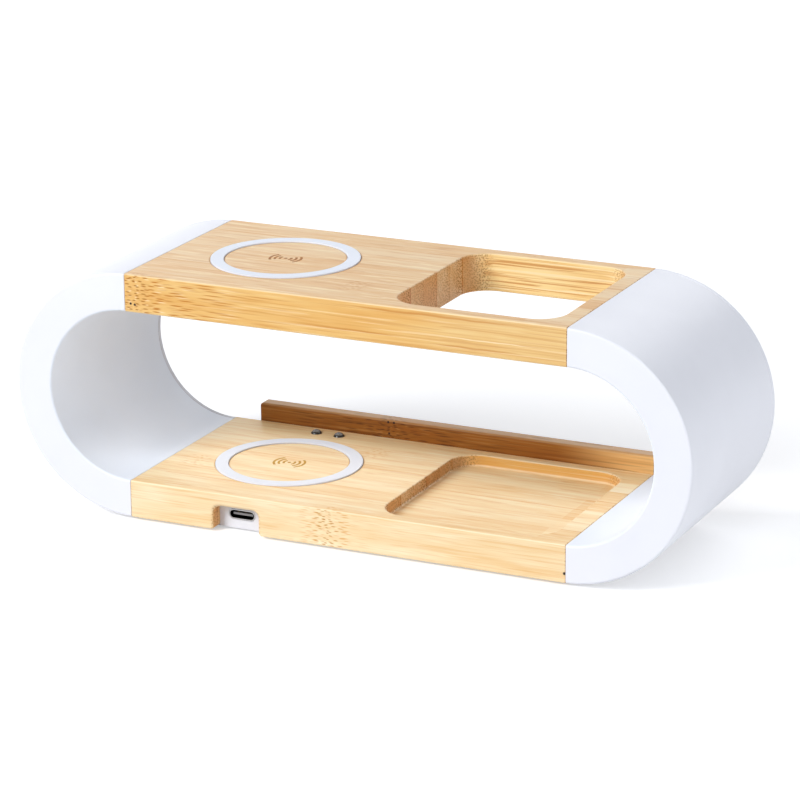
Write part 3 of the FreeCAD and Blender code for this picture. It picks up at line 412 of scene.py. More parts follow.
def streak_mark(wood, start, end, y, z, width):
    """One along a thin streak that runs from start to end, and zero around it."""
    away = wood.vector("SUBTRACT", wood.bent, ((start + end) / 2, y, z))
    away = wood.vector("MULTIPLY", away, (2 / (end - start), 1 / width, 1 / width))
    return wood.ramp(wood.vector("LENGTH", away), *MARK_EDGE, 1.0, 0.0)


def groove_edge(wood, ring):
    """One along both edges of the groove that a ring lies in, and zero around them."""
    low, high = [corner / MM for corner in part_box(ring)]
    middle = ((low.x + high.x) / 2, (low.y + high.y) / 2, 0.0)
    out = wood.vector("DISTANCE", wood.point(wood.x, wood.y, 0.0), middle)
    inward = wood.sum("SUBTRACT", (high.x - low.x - RING_WIDTH) / 2, out)
    off = wood.sum("SUBTRACT", wood.sum("ABSOLUTE", inward), RING_WIDTH / 2 + RING_GAP)
    return wood.ramp(wood.sum("ABSOLUTE", off), *GROOVE_SHADE_WIDTH, 1.0, 0.0)


def pore(wood, x, y, z, radius):
    """One where a small open pore is, and zero around it."""
    return wood.ramp(wood.vector("DISTANCE", wood.where, (x, y, z)), radius * 0.5, radius, 1.0, 0.0)


print("width of a ring in mm:", RING_WIDTH)

# %% [markdown]
# ## The plain wood
# First comes the wood without its fibres. Its colour depends on the way a face points: the top, the front,
# the walls of the hollows and the cut ends differ. Streaks, a chance number for each strip, the short end
# pieces at the right margins and the glue lines then change the tone. The tone darkens blue most and red
# least, because the dark fibres of bamboo are orange brown and not grey. The rounded edge between top and
# front gets a painted highlight: it is made paler.

# %% Colour the plain wood
CUT_END = (0.2, 0.9)
# each streak: its stretch along the fibre, its scale, how far it wanders and its strength
STREAKS = ((7.0, 0.15, 3.0, 0.26), (12.0, 0.42, 2.0, 0.30), (45.0, 2.2, 0.6, 0.14))
# how strongly the tone acts on red, green and blue
TONE_POWERS = (0.5, 1.5, 3.0)
STRIP_TONE = (0.08, 0.28)
END_PIECE_START = 58.0
END_PIECE_SCATTER = 7.0
GLUE_LINE = (0.93, 0.99)
GLUE_STRENGTH = (0.09, 0.25)
EDGE_HIGHLIGHT_SPAN = (0.03, 0.22)
EDGE_HIGHLIGHT = 0.55


def ground_colour(wood, kind):
    """The colour by the way that a face points."""
    side = colour(*kind.front)
    if kind.paler_end:
        begin, whole, tint = kind.paler_end
        side = wood.mix(wood.ramp(wood.x, begin, whole), side, colour(*tint))
    side = wood.mix(wood.in_front, colour(*kind.inner), side)
    ground = wood.mix(wood.facing, colour(*kind.top), side)
    return wood.mix(wood.ramp(wood.cut, *CUT_END), ground, colour(*kind.end))


def strip_tone(wood, kind):
    """One chance tone for each strip, and another one for the end piece beyond it."""
    uneven = wood.ramp(wood.cut, *CUT_END, *STRIP_TONE)
    own = wood.product(wood.sum("SUBTRACT", wood.chance("tone"), 0.5), uneven)
    butt = wood.sum("MULTIPLY_ADD", wood.chance("end piece"), END_PIECE_SCATTER, END_PIECE_START)
    beyond = wood.product(wood.sum("GREATER_THAN", wood.x, butt), wood.flat)
    other = wood.product(wood.sum("SUBTRACT", wood.chance("end piece tone"), 0.5), kind.end_pieces)
    return wood.sum("MULTIPLY_ADD", other, beyond, own)


def glue_line(wood):
    """How much the glue darkens the edge of a strip."""
    strength = wood.ramp(wood.outside, 0.0, 1.0, *GLUE_STRENGTH)
    twice_on_ends = wood.ramp(wood.cut, *CUT_END, 1.0, 2.0)
    return wood.product(wood.ramp(wood.inside, *GLUE_LINE), strength, twice_on_ends)


def plain_wood(wood, kind, ground):
    """The colour of the wood without its fibres, and the finest of its streaks."""
    tone = 1.0
    for stretch, scale, wander, strength in STREAKS:
        streak = wood.streak(stretch, scale, 2.0, wander)
        tone = wood.sum("MULTIPLY_ADD", streak, strength, tone)
    tone = wood.sum("SUBTRACT", wood.sum("ADD", strip_tone(wood, kind), tone), glue_line(wood))
    warm = wood.point(*(wood.sum("POWER", tone, power) for power in TONE_POWERS))
    body = wood.mix(1.0, ground, warm, "MULTIPLY")
    # painted highlight: the rounded edge between the top and the front is made paler
    painted_edge_light = wood.ramp(wood.product(wood.facing, wood.flat), *EDGE_HIGHLIGHT_SPAN, 0.0, EDGE_HIGHLIGHT)
    return wood.mix(painted_edge_light, body, colour(*kind.pale)), streak


print("streaks in the plain wood:", len(STREAKS))

# %% [markdown]
# ## The fibres on each kind of face
# On upright faces the fibres are dashes near the joint and long threads far from it; on flat ones they are
# fine hairs, with a few short lines at a joint; on cut ends they are dots, which crowd towards the side of
# the strip that was the outside of the cane. The dots are squeezed along the wall, so that they also look
# right where the wall of a hollow turns a corner. Each function gives the share by which the wood is
# darkened or lightened.

# %% Draw the fibres
FAR_FROM_JOINT = (8.0, 45.0)
THREAD_LENGTH = 60.0
THREAD_SCALES = (1.6, 1.2)
LIGHT_THREAD = (0.40, 0.36, 0.0, 0.75)
DARK_THREAD = (0.585, 0.625)
HAIR = (14.0, 0.70, 3.0, 1.5)
LIGHT_HAIR = (-0.07, -0.15, 0.0, 0.50)
DARK_HAIR = (0.07, 0.15, 0.0, 0.46)
# each row of dashes: its shift in height, and where a dash is full and where it ends
DASH_ROWS = {"dark": (0.0, 0.10, 0.34), "soft": (40.0, 0.10, 0.36), "light": (80.0, 0.06, 0.32)}
DASHES_BEHIND = 0.25
DASHES_FAR = 0.20
DARK_DASH = (0.0, 0.3)
SOFT_DASH = 0.5
LIGHT_DASH = (0.4, 0.7, 0.0, 0.65)
DOT_SPACING = 0.60
DOT_SQUEEZE = 0.6
DOT_EDGE = (0.16, 0.50)
HOLLOW_MIDDLE = 39.0
LINE_SPACING = 1.2
LINE_EDGE = (0.05, 0.40)
LINE_STRENGTH = 0.5


def threads(wood, kind):
    """The light and the dark threads on upright faces."""
    share = wood.choose(kind.lines[0], wood.ramp(wood.away, *FAR_FROM_JOINT, *kind.lines[1:]))
    share = wood.product(share, wood.upright)
    thread = wood.thread(THREAD_LENGTH, wood.choose(*THREAD_SCALES))
    light = wood.product(wood.ramp(thread, *LIGHT_THREAD), share)
    return light, wood.product(wood.ramp(thread, *DARK_THREAD), share)


def hairs(wood):
    """The light and the dark hairs on flat faces."""
    hair = wood.streak(*HAIR)
    light = wood.product(wood.ramp(hair, *LIGHT_HAIR), wood.flat)
    return light, wood.product(wood.ramp(hair, *DARK_HAIR), wood.flat)


def dashes(wood, kind):
    """The light, the soft and the dark dashes on upright faces, strongest at the joint."""
    along = wood.along(kind.dash_spacing)
    fading = wood.ramp(wood.away, *kind.reach, kind.dashes, kind.dashes * DASHES_FAR)
    fading = wood.choose(DASHES_BEHIND, fading)
    fading = wood.product(fading, wood.upright)
    rows = {}
    for row, (lift, core, edge) in DASH_ROWS.items():
        rows[row] = wood.bundles(along, wood.sum("ADD", wood.z, lift), kind.dash_spacing, core, edge)
    depth, chance = rows["dark"]
    dark = wood.product(depth, wood.ramp(chance, *DARK_DASH), fading)
    soft = wood.product(rows["soft"][0], SOFT_DASH, fading)
    depth, chance = rows["light"]
    return wood.product(depth, wood.ramp(chance, *LIGHT_DASH), fading), soft, dark


def dots(wood):
    """The cut bundles on the ends of the strips and on the walls of hollows."""
    from_middle = wood.sum("ABSOLUTE", wood.sum("SUBTRACT", wood.x, HOLLOW_MIDDLE))
    squeezed = wood.product(wood.sum("SUBTRACT", wood.y, from_middle), DOT_SQUEEZE)
    depth, _ = wood.bundles(squeezed, wood.z, DOT_SPACING, *DOT_EDGE)
    crowd = wood.ramp(wood.inside, 0.15, 0.90, 0.40, wood.ramp(wood.outside, 0.0, 1.0, 0.70, 1.0))
    return wood.product(depth, crowd, wood.ramp(wood.cut, 0.0, 0.25))


def joint_lines(wood):
    """Short lines on flat faces where a joint was planed off."""
    depth, _ = wood.bundles(wood.along(LINE_SPACING), wood.y, LINE_SPACING, *LINE_EDGE)
    return wood.product(wood.product(depth, wood.flat), wood.product(wood.near, LINE_STRENGTH))


print("rows of dashes:", list(DASH_ROWS))

# %% [markdown]
# ## One recipe for bamboo
# The recipe lays the marks over the plain wood in turn: pale ones, half dark ones, dots, the dark dashes,
# which are burnt darkest at the joint, and open pores. Dark fibres are also a little rougher than the
# lacquered wood and lie a hair lower. What a kind of bamboo doesn't state is taken from a list of common
# choices.

# %% Put the bamboo together
PORE_COLOUR = colour(0.03, 0.015, 0.01)
HALF_DARK = 0.65
BURNT = 0.75
GROOVE_SHADE = 0.8
WOOD_ROUGHNESS = (0.42, 0.58)
COMMON = {
    "lines": (1.0, 0.05, 0.45), "reach": (10.0, 60.0), "dash_spacing": 0.80, "end_pieces": 0.0,
    "paler_end": None, "ring": None, "dense": (), "specks": (), "dark_marks": (), "pale_marks": (),
}


def bamboo(name, **choices):
    kind = SimpleNamespace(**{**COMMON, **choices})
    wood = Bamboo(name, kind.strip_edge, kind.front_joint, kind.dense, kind.seed)
    ground = ground_colour(wood, kind)
    body, fine = plain_wood(wood, kind, ground)
    light_thread, dark_thread = threads(wood, kind)
    light_hair, dark_hair = hairs(wood)
    light_dash, soft_dash, dark_dash = dashes(wood, kind)
    dot = dots(wood)

    light = [light_thread, light_dash, light_hair]
    light += [wood.product(streak_mark(wood, *place), share) for *place, share in kind.pale_marks]
    surface = wood.mix(wood.most(*light), body, colour(*kind.pale))
    dark = [soft_dash, dark_thread, dark_hair]
    dark += [wood.product(streak_mark(wood, *place), share) for *place, share in kind.dark_marks]
    # painted shade: a dark line along both edges of the groove that the ring lies in
    if kind.ring:
        dark.append(wood.product(groove_edge(wood, kind.ring), wood.flat, GROOVE_SHADE))
    surface = wood.mix(wood.most(*dark), surface, wood.mix(HALF_DARK, ground, colour(*kind.dash)))
    surface = wood.mix(dot, surface, colour(*kind.dot))
    darkest = wood.most(dark_dash, joint_lines(wood))
    burnt = colour(*(part * BURNT for part in kind.dash))
    burnt = wood.mix(wood.product(wood.near, wood.facing), colour(*kind.dash), burnt)
    surface = wood.mix(darkest, surface, burnt)
    pores = wood.most(0.0, *(pore(wood, *speck) for speck in kind.specks))
    surface = wood.mix(pores, surface, PORE_COLOUR)

    sunk = wood.most(darkest, dot, pores)
    wood.set(base_color=surface, specular_ior_level=0.25)
    wood.set(roughness=wood.ramp(sunk, 0.0, 1.0, *WOOD_ROUGHNESS))
    wood.bump(wood.sum("SUBTRACT", fine, sunk), 0.3, 0.02)
    return wood.material


print("common choices:", list(COMMON))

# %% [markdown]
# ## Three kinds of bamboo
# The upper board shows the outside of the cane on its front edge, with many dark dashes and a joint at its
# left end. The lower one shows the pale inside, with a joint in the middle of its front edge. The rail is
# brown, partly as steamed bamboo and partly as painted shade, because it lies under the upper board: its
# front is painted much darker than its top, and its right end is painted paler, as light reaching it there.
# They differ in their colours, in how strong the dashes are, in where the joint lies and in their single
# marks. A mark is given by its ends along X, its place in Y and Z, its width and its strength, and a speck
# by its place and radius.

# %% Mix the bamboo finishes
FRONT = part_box("upper_board")[0].y / MM
RAIL_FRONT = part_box("back_rail")[0].y / MM

upper_bamboo = bamboo(
    "upper_bamboo", strip_edge=-45.23, front_joint=-69.0, seed=0.0, dense=(2, 6), dashes=0.9,
    top=(0.81, 0.535, 0.268), front=(0.80, 0.475, 0.155), inner=(0.92, 0.68, 0.315), end=(0.68, 0.375, 0.15),
    dash=(0.52, 0.17, 0.012), dot=(0.34, 0.125, 0.012), pale=(1.0, 0.82, 0.52),
    paler_end=(15.0, 45.0, (0.81, 0.53, 0.213)), end_pieces=0.24, ring="upper_ring",
    dark_marks=[(-12.0, 72.0, FRONT, 77.4, 0.5, 0.85), (-20.0, 25.0, FRONT, 70.0, 0.45, 0.8),
                (26.0, 62.0, FRONT, 69.0, 0.45, 0.8)],
    pale_marks=[(26.0, 72.0, FRONT, 71.6, 0.3, 0.6)],
    specks=[(-70.4, FRONT, 69.6, 0.5), (-69.0, FRONT, 69.4, 0.5)])
lower_bamboo = bamboo(
    "lower_bamboo", strip_edge=-44.2, front_joint=-5.0, seed=40.0, dense=(1, 4), dashes=0.9,
    top=(0.955, 0.72, 0.40), front=(0.94, 0.76, 0.485), inner=(0.86, 0.49, 0.145), end=(0.77, 0.46, 0.21),
    dash=(0.74, 0.33, 0.04), dot=(0.42, 0.19, 0.05), pale=(1.0, 0.86, 0.60),
    lines=(0.35, 0.05, 0.35), reach=(2.5, 11.0), dash_spacing=0.60, end_pieces=0.24, ring="lower_ring",
    dark_marks=[(27.0, 52.0, -36.2, 12.8, 0.9, 0.55), (58.0, 73.0, -30.2, 12.8, 0.9, 0.5)],
    specks=[(72.2, FRONT, 3.9, 0.6)])
# painted shade and light: the rail's front is darker than its top, and paler towards its right end
shaded_rail_bamboo = bamboo(
    "shaded_rail_bamboo", strip_edge=30.0, front_joint=-17.0, seed=80.0, dashes=0.7,
    top=(0.60, 0.37, 0.19), front=(0.375, 0.14, 0.022), inner=(0.375, 0.14, 0.022), end=(0.50, 0.28, 0.13),
    dash=(0.09, 0.028, 0.006), dot=(0.14, 0.045, 0.01), pale=(0.56, 0.27, 0.08),
    lines=(1.0, 0.6, 0.4), paler_end=(38.0, 68.0, (0.86, 0.53, 0.215)),
    specks=[(-18.0, RAIL_FRONT, 17.9, 0.5), (-16.0, RAIL_FRONT, 17.9, 0.5), (-17.7, RAIL_FRONT, 14.2, 0.45)])
dress(upper_bamboo, "upper_board")
dress(lower_bamboo, "lower_board")
dress(shaded_rail_bamboo, "back_rail", "rail_dowels")
print("bamboo finishes:", upper_bamboo.name, lower_bamboo.name, shaded_rail_bamboo.name)

# %% [markdown]
# ## Moulded plastic and rubber
# The white bows come out of a mould whose walls were etched to a fine matt grain, and the rings, feet and
# the lead are rubber of different colours. A fine noise gives the grain and makes the gloss uneven, and a
# very wide one shifts the tone a little, because a large moulding is never quite even. The hollows of the
# bows are painted a cooler and slightly lighter white, which cancels the warm light that comes back from
# the wood, and the inner side of their back covers is painted greyer, as shade along the parting line.

# %% Mix the moulded finishes
NOISE_RANGE = (0.3, 0.7)
MOTTLE_SCALE = 0.06
BOW_MARGIN = 0.1
BOW_EDGE = 1.03
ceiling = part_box("upper_board")[0].z / MM
lower_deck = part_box("lower_board")[1].z / MM
BOW_AXIS = (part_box("upper_board")[1].x / MM, (ceiling + lower_deck) / 2)
BOW_RADIUS = (ceiling - lower_deck) / 2 + BOW_MARGIN


def hollow_share(finish, where):
    """Zero in the hollow of either bow, and one outside it."""
    x, _, z = finish.split(where)
    aside = finish.sum("SUBTRACT", finish.sum("ABSOLUTE", x), BOW_AXIS[0])
    out = finish.vector("DISTANCE", finish.point(aside, 0.0, z), (0.0, 0.0, BOW_AXIS[1]))
    return finish.ramp(out, BOW_RADIUS, BOW_RADIUS * BOW_EDGE)


def moulded(name, base, grain, depth, smooth, rough, mottle=0.02, hollow=None):
    finish = Finish(name)
    where = finish.place()
    grit = finish.noise(where, grain, 3.0)
    shade = finish.ramp(finish.noise(where, MOTTLE_SCALE, 2.0), *NOISE_RANGE, 1.0 - mottle, 1.0)
    tint = colour(*base)
    # painted tint inside a bow's hollow: a cooler, lighter white on the bows as painted light, grey on the
    # covers as painted shade
    if hollow:
        tint = finish.mix(hollow_share(finish, where), colour(*hollow), tint)
    tinted = finish.mix(1.0, tint, finish.point(shade, shade, shade), "MULTIPLY")
    finish.set(base_color=tinted, roughness=finish.ramp(grit, *NOISE_RANGE, smooth, rough))
    finish.bump(grit, 0.25, depth)
    return finish.material


def nodes_of(slot):
    """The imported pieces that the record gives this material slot."""
    return [part["node"] for part in frame["record"]["subparts"] if part["material_slot"] == slot]


BOW_WHITE = dict(base=(0.845, 0.855, 0.905), grain=3.5, depth=0.012, smooth=0.40, rough=0.55)
MOULDED = {
    "white_plastic": dict(BOW_WHITE, hollow=(0.85, 0.905, 0.985)),
    "ring_silicone": dict(base=(0.845, 0.88, 0.955), grain=5.0, depth=0.008, smooth=0.50, rough=0.65),
    "foot_rubber": dict(base=(0.55, 0.55, 0.54), grain=4.0, depth=0.02, smooth=0.65, rough=0.85),
    "black_plastic": dict(base=(0.028, 0.028, 0.03), grain=6.0, depth=0.01, smooth=0.35, rough=0.55),
    "connector_plastic": dict(base=(0.80, 0.76, 0.64), grain=4.0, depth=0.01, smooth=0.3, rough=0.5),
    "lead_sheath": dict(base=(0.03, 0.03, 0.032), grain=3.0, depth=0.02, smooth=0.5, rough=0.7),
    "ferrite": dict(base=(0.045, 0.045, 0.05), grain=2.5, depth=0.03, smooth=0.55, rough=0.8, mottle=0.25),
}
for slot, look in MOULDED.items():
    dress(moulded(slot, **look), *nodes_of(slot))
# painted shade: the inner side of the back covers is greyer
shaded_cover_plastic = moulded("shaded_cover_plastic", **BOW_WHITE, hollow=(0.72, 0.73, 0.78))
dress(shaded_cover_plastic, "left_bow_cover", "right_bow_cover")
print("moulded finishes:", list(MOULDED), shaded_cover_plastic.name)

# %% [markdown]
# ## Smoky lenses
# The two charging lights end in small domes of smoked clear plastic. With no light on they look dark grey,
# with a sharp gleam. The middle of each dome is a lighter grey, partly smoke and partly painted reflection,
# and the rim where the dome dips into its hole is painted nearly black, as shade. A little of the light goes
# through, and hair scratches keep the gleam from being perfect.

# %% Mix the lens finish
LENS_SHADE_RIM = (1.2, 1.55)
DARK_SMOKE = colour(0.27, 0.255, 0.24)
PALE_SMOKE = colour(0.42, 0.40, 0.38)
RIM_SHADE_COLOUR = colour(0.025, 0.02, 0.018)

lens = Finish("smoke_lens")
where = lens.place()
scratches = lens.noise(where, 2.5, 4.0)
first_middle, second_middle = [sum(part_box(name), Vector()) / 2 / MM for name in nodes_of("smoke_lens")]
pair_middle = (first_middle + second_middle) / 2
half_apart = abs(second_middle.x - first_middle.x) / 2
x, y, _ = lens.split(where)
aside = lens.sum("SUBTRACT", lens.sum("ABSOLUTE", lens.sum("SUBTRACT", x, pair_middle.x)), half_apart)
out = lens.vector("DISTANCE", lens.point(aside, y, 0.0), (0.0, pair_middle.y, 0.0))
# painted shade: each dome goes nearly black towards its rim; its lighter middle is partly painted reflection
smoke = lens.mix(lens.ramp(scratches, *NOISE_RANGE), DARK_SMOKE, PALE_SMOKE)
lens.set(base_color=lens.mix(lens.ramp(out, *LENS_SHADE_RIM), smoke, RIM_SHADE_COLOUR),
         roughness=lens.ramp(scratches, *NOISE_RANGE, 0.06, 0.16), ior=1.49, transmission_weight=0.35)
lens.bump(scratches, 0.1, 0.01)
dress(lens.material, *nodes_of("smoke_lens"))
print("lenses:", nodes_of("smoke_lens"))

# %% [markdown]
# ## Metals
# The shell of the power inlet is drawn steel sheet, with faint lines along the draw, and painted dark inside
# its mouth, as shade. The screws are zinc plated, the coils are enamelled copper wire and the contacts are
# gilded. All are the same metal shader with other colours: a noise that is stretched along one axis makes
# the drawing lines.

# %% Mix the metal finishes
EVEN = (1.0, 1.0, 1.0)
MOUTH_SHADE_DEPTH = (0.1, 0.4)
MOUTH_SHADE_COLOUR = colour(0.01, 0.01, 0.01)


def metal(name, dark, light, stretch, grain, smooth, rough, mouth=None, **sockets):
    finish = Finish(name)
    drawn = finish.noise(finish.vector("MULTIPLY", finish.place(), stretch), grain, 3.0)
    tint = finish.mix(finish.ramp(drawn, *NOISE_RANGE), colour(*dark), colour(*light))
    # painted shade: the steel gets darker the deeper it lies inside the mouth
    if mouth is not None:
        depth = finish.sum("SUBTRACT", finish.split(finish.place())[1], mouth)
        tint = finish.mix(finish.ramp(depth, *MOUTH_SHADE_DEPTH), tint, MOUTH_SHADE_COLOUR)
    finish.set(base_color=tint, metallic=1.0, **sockets)
    finish.set(roughness=finish.ramp(drawn, *NOISE_RANGE, smooth, rough))
    finish.bump(drawn, 0.15, 0.01)
    return finish.material


inlet_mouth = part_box("usb_c_shell")[0].y / MM
inlet_steel = metal("inlet_steel", dark=(0.42, 0.42, 0.43), light=(0.62, 0.62, 0.63),
                    stretch=(1.0, 0.08, 1.0), grain=6.0, smooth=0.22, rough=0.40, mouth=inlet_mouth)
screw_zinc = metal("screw_zinc", dark=(0.48, 0.48, 0.50), light=(0.66, 0.66, 0.68),
                   stretch=EVEN, grain=3.0, smooth=0.25, rough=0.45)
coil_copper = metal("coil_copper", dark=(0.50, 0.19, 0.07), light=(0.78, 0.34, 0.14),
                    stretch=EVEN, grain=1.2, smooth=0.18, rough=0.35, coat_weight=0.5)
contact_gold = metal("contact_gold", dark=(0.60, 0.38, 0.10), light=(0.85, 0.58, 0.20),
                     stretch=(1.0, 0.1, 1.0), grain=8.0, smooth=0.18, rough=0.32)
dress(inlet_steel, "usb_c_shell")
print("metals:", inlet_steel.name, screw_zinc.name, coil_copper.name, contact_gold.name)

# %% [markdown]
# ## Circuit boards
# A circuit board is glass fibre under green lacquer. Copper paths under the lacquer make it a little
# lighter and slightly raised. The cells of a Voronoi pattern on a square metric, folded into bands, give
# such paths.

# %% Mix the circuit board finish
LACQUER = colour(0.015, 0.10, 0.045)
LACQUER_ON_COPPER = colour(0.03, 0.20, 0.08)
PATH_PITCH = 0.12

board = Finish("circuit_board")
where = board.place()
cells = board.node("ShaderNodeTexVoronoi", {"Vector": where, "Scale": 0.35}, feature="F1",
                   distance="MANHATTAN")
copper = board.ramp(board.sum("PINGPONG", cells, PATH_PITCH), 0.05, 0.08)
weave = board.noise(where, 3.0, 2.0)
board.set(base_color=board.mix(copper, LACQUER, LACQUER_ON_COPPER),
          roughness=board.ramp(weave, *NOISE_RANGE, 0.28, 0.45), coat_weight=0.3)
board.bump(copper, 0.3, 0.03)
dress(board.material, *nodes_of("circuit_board"))
print("circuit boards:", nodes_of("circuit_board"))

# %% [markdown]
# ## Growing pieces with Geometry Nodes
# Screws, contacts, turns of wire and the lines of a sign repeat by a rule. Geometry Nodes can hold that
# rule with its sizes as named inputs, so changing a size grows the piece anew. This helper makes a tree
# with such inputs. Its last steps make the instances real and give the piece its material, because an
# export drops instances.

# %% Write the Geometry Nodes helper
def socket_label(name):
    return name.replace("_", " ").title()


class Grower(Wiring):
    """A Geometry Nodes tree with named inputs."""

    KINDS = {float: "NodeSocketFloat", tuple: "NodeSocketVector"}

    def __init__(self, name, **sizes):
        self.tree = bpy.data.node_groups.new(name, "GeometryNodeTree")
        self.tree.interface.new_socket("Geometry", in_out="OUTPUT", socket_type="NodeSocketGeometry")
        self.sizes = {socket_label(size): value for size, value in sizes.items()}
        self.identifiers = {}
        for label, value in self.sizes.items():
            kind = self.KINDS[type(value)]
            socket = self.tree.interface.new_socket(label, in_out="INPUT", socket_type=kind)
            self.identifiers[label] = socket.identifier
        self.given = self.tree.nodes.new("NodeGroupInput").outputs

    def size(self, label):
        return self.given[label]

    def half(self, label):
        return self.sum("MULTIPLY", self.size(label), 0.5)

    def joined(self, *parts):
        made = self.tree.nodes.new("GeometryNodeJoinGeometry")
        for part in parts:
            self.tree.links.new(part, made.inputs[0])
        return made.outputs[0]

    def moved(self, part, offset):
        return self.node("GeometryNodeTransform", {"Geometry": part, "Translation": offset})

    def lifted(self, part, height):
        return self.moved(part, self.point(0.0, 0.0, height))

    def swept(self, curve, section):
        sockets = {"Curve": curve, "Profile Curve": section, "Fill Caps": True}
        return self.node("GeometryNodeCurveToMesh", sockets)

    def finish(self, part, material):
        part = self.node("GeometryNodeRealizeInstances", {"Geometry": part})
        part = self.node("GeometryNodeSetMaterial", {"Geometry": part, "Material": material})
        out = self.tree.nodes.new("NodeGroupOutput")
        self.tree.links.new(part, out.inputs[0])


print("kinds of inputs:", list(Grower.KINDS.values()))

# %% [markdown]
# ## Keeping what grows
# A tree is a rule and not yet a piece. This helper runs a tree on an empty mesh, sets its inputs by their
# identifiers, keeps the result as a plain mesh and lets it ride on the body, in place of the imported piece
# that it stands for.

# %% Write the helper that grows a piece
def grow(name, grower, slot, replaced=(), smooth=False, **sizes):
    """Runs a tree, and keeps what it grows as a plain mesh on the body."""
    holder = bpy.data.objects.new(name, bpy.data.meshes.new(name + "_empty"))
    bpy.context.scene.collection.objects.link(holder)
    modifier = holder.modifiers.new("grow", "NODES")
    modifier.node_group = grower.tree
    named = {socket_label(size): value for size, value in sizes.items()}
    for label, value in {**grower.sizes, **named}.items():
        modifier[grower.identifiers[label]] = value
    evaluated = holder.evaluated_get(bpy.context.evaluated_depsgraph_get())
    mesh = bpy.data.meshes.new_from_object(evaluated)
    holder.modifiers.remove(modifier)
    mesh.name = name
    holder.data = mesh
    mesh.polygons.foreach_set("use_smooth", [smooth] * len(mesh.polygons))
    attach(holder, "root")
    if replaced:
        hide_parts(*replaced)
    print(name, "has", len(mesh.polygons), "faces")


print("the helper that grows a piece is ready")

# %% [markdown]
# ## Burnt bamboo
# In the middle of each ring a laser has burnt a sign into the bamboo. Scorched fibres are brown and matt,
# and uneven from fibre to fibre. The sign on the upper board was burnt longer and is the darker one, so
# the colour changes with the height.

# %% Mix the burnt finish
BETWEEN_BOARDS = (30.0, 60.0)

burn = Finish("engraved_bamboo")
where = burn.place()
char = burn.noise(where, 2.0, 3.0)
longer = burn.ramp(burn.split(where)[2], *BETWEEN_BOARDS)
darkest = burn.mix(longer, colour(0.50, 0.25, 0.012), colour(0.28, 0.085, 0.004))
lightest = burn.mix(longer, colour(0.64, 0.36, 0.035), colour(0.44, 0.16, 0.008))
burn.set(base_color=burn.mix(burn.ramp(char, 0.35, 0.65), darkest, lightest),
         roughness=burn.ramp(char, *NOISE_RANGE, 0.6, 0.8))
burn.bump(char, 0.3, 0.03)
print("burnt finish:", burn.material.name)

# %% [markdown]
# ## The engraved charging signs
# The sign is the usual picture of waves: a dot between three arcs on either side. One arc of radius 1 is
# put on six points, turned and scaled, and swept with a flat section. The lines are a hair thicker than
# nothing, so that they lie on the wood like scorched fibres. The arcs spread less on the upper board.

# %% Grow the charging signs
ARCS = 3
SIGNS = (("upper_board", "upper_ring", 39), ("lower_board", "lower_ring", 48))

sign = Grower("wave_sign", centre=(0.0, 0.0, 0.0), first_radius=1.79 * MM, radius_step=1.55 * MM,
              half_angle=math.radians(45), line_width=0.75 * MM, thickness=0.06 * MM, dot_diameter=1.2 * MM)
number = sign.node("GeometryNodeInputIndex", {})
turn = sign.product(sign.sum("FLOOR", sign.sum("DIVIDE", number, ARCS)), math.pi)
step = sign.sum("MODULO", number, ARCS)
radius = sign.sum("MULTIPLY_ADD", step, sign.size("Radius Step"), sign.size("First Radius"))
start = sign.product(sign.size("Half Angle"), -1.0)
sweep = sign.product(sign.size("Half Angle"), 2.0)
arc = sign.node("GeometryNodeCurveArc", {
    "Resolution": 20, "Radius": 1.0, "Start Angle": start, "Sweep Angle": sweep})
places = sign.node("GeometryNodePoints", {"Count": 2 * ARCS})
arcs = sign.node("GeometryNodeInstanceOnPoints", {
    "Points": places, "Instance": arc, "Scale": sign.point(radius, radius, 1.0),
    "Rotation": sign.point(0.0, 0.0, turn)})
arcs = sign.node("GeometryNodeRealizeInstances", {"Geometry": arcs})
arcs = sign.node("GeometryNodeSetCurveNormal", {"Curve": arcs}, mode="Z_UP")
section = sign.node("GeometryNodeCurvePrimitiveQuadrilateral", {
    "Width": sign.size("Line Width"), "Height": sign.size("Thickness")})
dot = sign.node("GeometryNodeMeshCylinder", {
    "Vertices": 20, "Radius": sign.half("Dot Diameter"), "Depth": sign.size("Thickness")})
whole_sign = sign.joined(sign.swept(arcs, section), dot)
sign.finish(sign.moved(whole_sign, sign.size("Centre")), burn.material)

for board_name, ring_name, spread in SIGNS:
    low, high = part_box(ring_name)
    middle = (low + high) / 2
    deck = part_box(board_name)[1].z
    grow(board_name.replace("board", "sign"), sign, "bamboo", centre=(middle.x, middle.y, deck),
         half_angle=math.radians(spread))

# %% [markdown]
# ## The cover screws
# Each cover is held by four wood screws with a cross recess. The head is a cylinder with two crossed boxes
# cut out of it, the thread is a small square swept along a spiral, with half of it sunk in the shank, and
# the four screws stand on the corners of a grid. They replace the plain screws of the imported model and
# have the same outer sizes.

# %% Shape the screw's head
screw = Grower("cover_screws", centre=(0.0, 0.0, 0.0), pitch_x=1.0, pitch_y=1.0,
               head=4.2 * MM, head_height=1.0 * MM, shank=1.5 * MM, thread=2.2 * MM, length=6.0 * MM,
               point=1.2 * MM, recess_width=0.7 * MM, recess_length=2.4 * MM, recess_depth=0.65 * MM,
               turns=6.0)
head = screw.node("GeometryNodeMeshCylinder", {
    "Vertices": 40, "Radius": screw.half("Head"), "Depth": screw.size("Head Height")})
head = screw.lifted(head, screw.half("Head Height"))
wide = screw.size("Recess Width")
long = screw.size("Recess Length")
twice_deep = screw.product(screw.size("Recess Depth"), 2.0)
arms = [screw.node("GeometryNodeMeshCube", {"Size": screw.point(*size, twice_deep)})
        for size in ((wide, long), (long, wide))]
head = screw.node("GeometryNodeMeshBoolean", {"Mesh 1": head, "Mesh 2": screw.joined(*arms)},
                  operation="DIFFERENCE", solver="EXACT")
print("head in mm:", screw.sizes["Head"] / MM)

